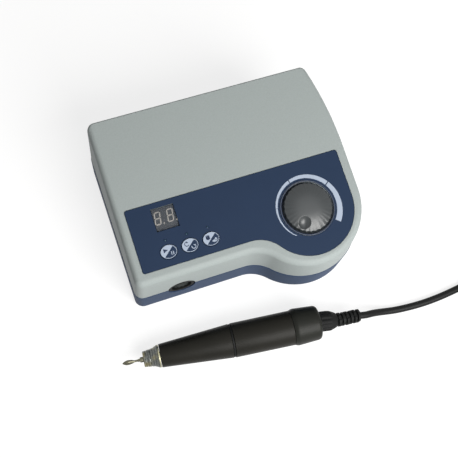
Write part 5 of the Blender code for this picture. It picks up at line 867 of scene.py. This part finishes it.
def make_key(key, x):
    """A key's cap, whose edge is a quarter circle, and its print: a white half with a dark
    sign, and a white line round a dark half with a white sign."""
    spot, button = moved(PANEL, x, BUTTON_ALONG), key + "_button"
    top, edge = 0.0006, 0.0004
    sections = [(0.0015, 0.0015, -0.0078), (0.0015, 0.0015, -0.0037), (0.0075, 0.0064, -0.0037)]
    sections += [(0.0075, 0.0064, -0.0027), (KEY_X, KEY_Y, -0.0027)]
    for angle in np.radians([0, 22.5, 45, 67.5, 90]):
        cut = edge * (1 - math.cos(angle))
        sections.append((KEY_X - cut, KEY_Y - cut, top - edge * (1 - math.sin(angle))))
    instead(button, stacked([(oval(half_x, half_y), h) for half_x, half_y, h in sections]), spot, PANEL_FILM)
    low, high, ink = top - 0.00003, top + 0.00004, top + 0.00008
    over, wide, deep, line = high - 0.00002, 0.006, 0.0049, 0.0004
    outer, inner = (oval(wide - cut, deep - cut, first_deg=-133, last_deg=47) for cut in (0, line))
    white = [plate(oval(wide, deep, first_deg=47, last_deg=227), low, high)]
    white.append(plate(np.concatenate([outer, inner[::-1]]), low, high))
    first, second = np.array([-0.0022, 0.0014]), np.array([0.0024, -0.0015])
    if key == "run":
        dark = [plate(first + [(-0.0014, -0.0016), (0.0018, 0), (-0.0014, 0.0016)], over, ink)]
        for middle in (-0.0007, 0.0007):
            near, far = second + (middle - 0.0003, -0.0013), second + (middle + 0.0003, 0.0013)
            white.append(block((*near, low), (*far, high)))
    elif key == "direction":
        dark = arrow_round(first, 0.0015, 330, 90, over, ink)
        white += arrow_round(second, 0.0015, 150, 390, low, high)
    else:
        tips = [first + (i * 0.00075, 0.0008 - 0.00018 * abs(i)) for i in (-1.5, -0.5, 0.5, 1.5)]
        dark = [plate(oval(0.00034, 0.0012, tip, steps=20), over, ink) for tip in tips]
        dark.append(plate(oval(0.0015, 0.0011, first - (0, 0.0006), steps=32), over, ink))
        foot = [(0.002, 0.0009, (-0.0001, -0.0005)), (0.0009, 0.0012, (0.0009, 0.0004))]
        for half_x, half_y, shift in foot:
            white.append(plate(oval(half_x, half_y, second + shift, steps=32), low, high))
    make(key + "_print", joined(*white), spot, PRINT_WHITE, BODY_OF[button])
    make(key + "_sign", joined(*dark), spot, PRINT_NAVY, BODY_OF[button])


def make_lamps():
    """Three lamp domes just through the panel: height falls with the square of the radius."""
    radius, share = 0.00112, np.linspace(1, 0, 8)
    profile = np.vstack([[(-0.004, radius)], np.column_stack([0.00012 - 0.0006 * share**2, radius * share])])
    domes = [turned(profile, 32, (x, LAMP_ALONG)) for x in BUTTONS.values()]
    make("key_lamps", joined(*domes), PANEL, LAMP_PALE, "control_box")


CONTACTS = arc((0, 0), 0.0042, 180, 360, 4)


def make_socket():
    """The socket's collar round a well, and in the well an insert with five contact holes."""
    collar = [(-0.0151, 0), (-0.0151, 0.0104), (-0.0075, 0.0104), (-0.0075, 0.013), (-0.0055, 0.013)]
    collar += [(-0.0055, 0.0104), (-0.0006, 0.0104), (-0.0006, 0.0078), (-0.0061, 0.0078), (-0.0061, 0)]
    holes = (joined(*[rod(-0.0126, 0.004, 0.0011, xy) for xy in CONTACTS]), SOCKET)
    solid = turned(eased(collar, 0.0006, steps=5))
    carved_instead("handpiece_socket", solid, SOCKET, (), [holes], BLACK_RUBBER, 34.0)
    insert = turned(eased([(-0.0062, 0), (-0.0062, 0.0056), (-0.0014, 0.0056), (-0.0014, 0)], 0.0005))
    key_slot = (block((-0.0008, 0.0046, -0.007), (0.0008, 0.0066, 0)), SOCKET)
    mesh = carved("socket_core", insert, SOCKET, (), [holes, key_slot])
    show("socket_core", mesh, CORE_GREY, "control_box", (), 34.0)
    sleeve = [(-0.0125, 0.001), (-0.0024, 0.001), (-0.0024, 0.0007), (-0.0125, 0.0007)]
    sleeves = [turned(sleeve, 20, xy, True) for xy in CONTACTS]
    make("socket_contacts", joined(*sleeves), SOCKET, STEEL_BOX, "control_box")


# Handpiece: outlines of (height, radius)

NOSE = [(0, 0.0059), (0.0022, 0.0062), (0.0024, 0.006), (0.0027, 0.006), (0.0029, 0.0063)]
NOSE += [(0.0052, 0.0066), (0.0054, 0.0063), (0.0057, 0.0063), (0.0059, 0.0067), (0.0079, 0.007)]
NOSE += [(0.0112, 0.0086), (0.0126, 0.0087), (0.0126, 0.0052), (0.0079, 0.0042), (0.0019, 0.0042)]
NOSE += [(0.0016, 0.0031), (0, 0.0031)]
SLEEVE = [(0.0129, 0.0089), (0.0674, 0.013), (0.0674, 0.0113), (0.0146, 0.0072), (0.0129, 0.0072)]
RING = [(0.0677, 0.0127), (0.069, 0.0127), (0.069, 0.0071), (0.0677, 0.0071)]
CASE = [(0.0693, 0.0132), (0.1155, 0.0134), (0.1155, 0.0109), (0.0723, 0.0109)]
CASE += [(0.0723, 0.0061), (0.0693, 0.0061)]
CAP = [(0.1158, 0.0134), (0.1184, 0.0144), (CAP_END, 0.0132), (CAP_END, 0.0063), (0.1345, 0.0063)]
CAP += [(0.1345, 0.00965), (0.1158, 0.0116)]
# Each outline with its corners' rounds, the steps of a round, its finish and sharpest angle
WALLS = {
    "nose_cone": (NOSE, 0.0003, 3, STEEL_NOSE, 24.0),
    "front_sleeve": (SLEEVE, 0.0003, 4, BLACK_SATIN, 32.0),
    "joint_ring": (RING, 0.0001, 4, BLACK_RUBBER, 32.0),
    "motor_case": (CASE, [0.0003] + [0.0002] * 5, 4, BLACK_SATIN, 32.0),
    "rear_cap": (CAP, [0.0002, 0.006, 0.0034, 0.0002, 0.0002, 0.0006, 0.0002], 10, CAP_SATIN, 32.0),
}


def make_handpiece():
    """Each outline, its corners eased, turned round the handpiece's axis."""
    for name, (outline, rounds, steps, finish, sharp_deg) in WALLS.items():
        instead(name, turned(eased(outline, rounds, True, steps), 128, ring=True), HAND, finish, sharp_deg)


def make_relief():
    """Radius over angle and length: a grip with long flutes, a taper, then six block
    shaped ribs with gaps; each ring of points is square to the relief's bent axis."""
    end, ribs_from, pitch, ribs, tip = RELIEF_END, 0.1523, 0.00315, 6, 0.00001
    z = np.concatenate([[0.1342, 0.1377, 0.13779], np.linspace(0.1378, end - tip, 420), [end]])
    knots = [0.1342, 0.1377, 0.1378, 0.1381, 0.1443, 0.1464, 0.15, ribs_from, end]
    radii = [0.006, 0.006, 0.0074, 0.0079, 0.0079, 0.0077, 0.0061, 0.0049, 0.0045]
    base = np.interp(z, knots, radii)[:, None]
    t = circle(144)
    over = np.interp(z, [0.1384, 0.1392, 0.1446, 0.1486], [0, 1, 1, 0])[:, None]
    flutes = 0.0006 * over * (0.5 + 0.5 * np.cos(10 * t)) ** 2
    number = np.floor((z - ribs_from) / pitch)
    share = (z - ribs_from) / pitch - number
    rib = np.interp(share, [0.0, 0.1, 0.68, 0.8], [0, 1, 1, 0]) * (number >= 0) * (number < ribs)
    open_at = np.cos(2 * t[None, :] + math.pi * (number[:, None] % 2))
    full = 1 - 0.6 * np.clip((open_at - 0.86) / 0.06, 0, 1)
    rib_radius = 0.0054 - 0.00003 * np.clip(number, 0, ribs - 1)
    sunk = np.interp(z, [0.151, ribs_from], [0, 0.0009])[:, None]
    r = base - flutes - sunk + rib[:, None] * (rib_radius[:, None] - base + sunk) * full
    r[-1] = 0.0029
    place, way = relief_axis(z)
    down = np.stack([way[:, 2], np.zeros(len(z)), -way[:, 0]], -1)
    down /= np.linalg.norm(down, axis=1, keepdims=True)
    side = np.cross(way, down)
    round_it = (r * np.cos(t))[..., None] * down[:, None] + (r * np.sin(t))[..., None] * side[:, None]
    instead("strain_relief", lofted(place[:, None] + round_it), HAND, BLACK_RUBBER, 40.0)


def make_bur():
    """A flame shaped head: radius = R sin(pi s^0.8) along its length s, less eight cutting
    flutes that wind round it; then the neck and the shank."""
    tip, length, head_radius, neck, shank = -0.0161, 0.0112, 0.0019, 0.0008, 0.001175
    s = np.linspace(0.004, 1, 70)
    head = np.maximum(head_radius * np.sin(math.pi * np.minimum(s, 0.93) ** 0.8), 0.00013)
    head = np.where(s > 0.72, np.maximum(head, neck), head)
    tail = [(-0.0046, neck), (-0.0042, 0.0009), (-0.0037, shank), (0.0213, shank), (0.022, 0.0006)]
    tail_z, tail_radius = np.transpose(tail)
    z = np.concatenate([tip + length * s, tail_z])[:, None]
    base = np.concatenate([head, tail_radius])[:, None]
    t = circle(96)
    depth = np.concatenate([np.interp(s, [0, 0.1, 0.7, 0.8], [0.1, 0.2, 0.2, 0]), np.zeros(len(tail))])
    teeth = ((8 * t / math.tau + z * 160) % 1) ** 1.5
    instead("bur", lofted(rounded(base * (1 - depth[:, None] * teeth), t, z)), HAND, STEEL_BUR, 30.0)


def make_plug():
    """The plug's grip over angle and length, ribbed lengthwise, and its metal shell with pins."""
    low, high, slope = 0.011, 0.031, 0.0012
    z = np.concatenate([[0, 0.0099, 0.01095], np.linspace(low, high, 90)])
    knots = [0, 0.0099, 0.01095, low, low + slope, high - slope, high]
    base = np.interp(z, knots, [0.0034, 0.0044, 0.0046, 0.0066, 0.0078, 0.0078, 0.0066])[:, None]
    t = circle(180)
    over = np.interp(z, [low + 0.002, low + 0.0035, high - 0.0045, high - 0.003], [0, 1, 1, 0])[:, None]
    r = base - 0.0004 * over * (0.5 + 0.5 * np.cos(18 * t)) ** 2
    grip = instead("plug_grip", lofted(rounded(r, t, z[:, None])), PLUG, BLACK_MOULDED, 34.0)
    shell = [(0.0313, 0), (0.0313, 0.0067), (0.0428, 0.0067), (0.0428, 0.0061)]
    shell += [(0.0325, 0.0061), (0.0325, 0)]
    pin = eased([(0.0319, 0), (0.0319, 0.0007), (0.0404, 0.0007), (0.0404, 0)], 0.0004)
    pins = [turned(pin, 24, xy) for xy in CONTACTS]
    cup = instead("plug_shell", joined(turned(eased(shell, 0.0002)), *pins), PLUG, STEEL_PLUG)
    return grip, cup


# Feet and screws

def make_feet_and_screws():
    """Rubber feet with a stud, and case screws with a cross cut into each head."""
    foot = [(-0.0003, 0), (-0.0003, 0.006), (-0.003, 0.006), (-0.003, 0.0028)]
    foot += [(-0.0024, 0.0024), (-0.0024, 0)]
    for name in [n for n in NODES if n.startswith("foot_")]:
        instead(name, turned(eased(foot, 0.0006), 64, middle_of(name)), BOX, BLACK_RUBBER)
    screw = [(0.0065, 0), (0.0065, 0.0023), (0.0076, 0.0029), (0.0087, 0.0029), (0.0087, 0.0014)]
    screw += [(0.0338, 0.0014), (0.0338, 0)]
    for name, (x, y) in zip(CASE_SCREWS, SCREW_PLACES):
        cross = []
        for half_x, half_y in ((0.0016, 0.0003), (0.0003, 0.0016)):
            cross.append((block((x - half_x, y - half_y, 0.005), (x + half_x, y + half_y, 0.0077)), BOX))
        carved_instead(name, turned(eased(screw, 0.0003), 40, (x, y)), BOX, (), cross, STEEL_BOX)


# The fittings that keep the part's own shape, with eased edges, and the works inside

SOFTENED = [
    (PLATE_DARK, "rear_panel"),
    (BLACK_MOULDED, "mains_inlet rocker_housing power_rocker fuse_holder"),
    (STEEL_BOX, "pedal_jack"),
    (STEEL_BUR, "collet"),
]
CARRIED = [
    (STEEL_HAND, "spindle spindle_housing spindle_front_bearing spindle_rear_bearing"),
    (STEEL_HAND, "motor_front_bearing motor_rear_bearing motor_shaft"),
    (MAGNET_DARK, "magnet_ring"),
    (COPPER_WIRE, "rotor"),
    (BRASS, "commutator"),
    (NYLON_WHITE, "brush_holder"),
    (BLACK_MOULDED, "cooling_fan"),
    (STEEL_BOX, "potentiometer potentiometer_shaft transformer_strap"),
    (PANEL_BOARD_GREEN, "panel_board"),
    (BOARD_GREEN, "main_board"),
    (CAN_BLUE, "front_capacitor rear_capacitor"),
    (ALUMINIUM, "heat_sink"),
    (CORE_PLATES, "transformer_core"),
    (COIL_TAPE, "transformer_coil"),
]


def dress_the_works():
    """Eases the fittings' edges, and gives the works their finish on their own solids."""
    for finish, names in SOFTENED:
        for name in names.split():
            softened(name, finish)
    for finish, names in CARRIED:
        for part in [NODES[name] for name in names.split()]:
            if not part.material_slots:
                part.data.materials.append(finish)
            for slot in part.material_slots:
                slot.material = finish


# Stage

def lamp(name, spot, aim, size, power, colour):
    """A square soft light that looks from one point at another."""
    data = bpy.data.lights.new(name, "AREA")
    data.shape, data.size, data.energy, data.color = "SQUARE", size, power, colour
    light = linked(name, data)
    back = np.array(spot, float) - aim
    back /= np.linalg.norm(back)
    side = np.cross((0, 0, 1), back)
    side /= np.linalg.norm(side)
    light.matrix_world = Matrix(frame_at(spot, side, np.cross(back, side), back).tolist())


def seen_ray(tree):
    """1 for camera, glossy and transmitted rays, and 0 for the rest."""
    path = node(tree, "LightPath").outputs
    total = path["Is Camera Ray"]
    for other in ("Is Glossy Ray", "Is Transmission Ray"):
        total = computed(tree, "Math", "MAXIMUM", total, path[other])
    return total


def make_stage():
    """A floor and a world that are white to the eye and plain to the rest of the light."""
    finish, tree = new_finish("pale floor")
    plain = node(tree, "BsdfDiffuse", Color=(0.6, 0.6, 0.61, 1)).outputs[0]
    kept = node(tree, "BsdfDiffuse", Color=(0.32, 0.32, 0.32, 1)).outputs[0]
    glow = node(tree, "Emission", Color=(1, 1, 1, 1), Strength=0.79).outputs[0]
    both = computed(tree, "AddShader", "", kept, glow)
    node(tree, "OutputMaterial", Surface=computed(tree, "MixShader", "", seen_ray(tree), plain, both))
    half = 3.0
    mesh = bpy.data.meshes.new("floor")
    square = [(-half, -half, 0), (half, -half, 0), (half, half, 0), (-half, half, 0)]
    mesh.from_pydata(square, [], [(0, 1, 2, 3)])
    mesh.materials.append(finish)
    floor = linked("floor", mesh)
    floor.location.z = -0.0002
    world = bpy.data.worlds.new("studio")
    bpy.context.scene.world = world
    world.use_nodes = True
    tree = world.node_tree
    tree.nodes.clear()
    soft = node(tree, "Background", Color=(0.96, 0.98, 1.0, 1), Strength=0.06).outputs[0]
    white = node(tree, "Background", Color=(1, 1, 1, 1), Strength=1.0).outputs[0]
    node(tree, "OutputWorld", Surface=computed(tree, "MixShader", "", seen_ray(tree), soft, white))
    lamp("key light", (0.26, -0.73, 0.69), (0.02, 0.0, 0.03), 0.7, 14.2, (1, 0.99, 0.97))
    lamp("top light", (0.3, -0.1, 1.4), (0.0, 0.0, 0.03), 1.0, 2.5, (1, 1, 1))
    bpy.context.scene.view_settings.view_transform = "Standard"


cord, cord_exit, cord_length = make_cord()
make_top_shell()
make_base_shell()
make_panel()
make_scale()
make_knob()
make_display()
for key, across in BUTTONS.items():
    make_key(key, across)
make_lamps()
make_socket()
make_handpiece()
make_relief()
make_bur()
plug_pieces = make_plug()
make_feet_and_screws()
dress_the_works()
make_stage()
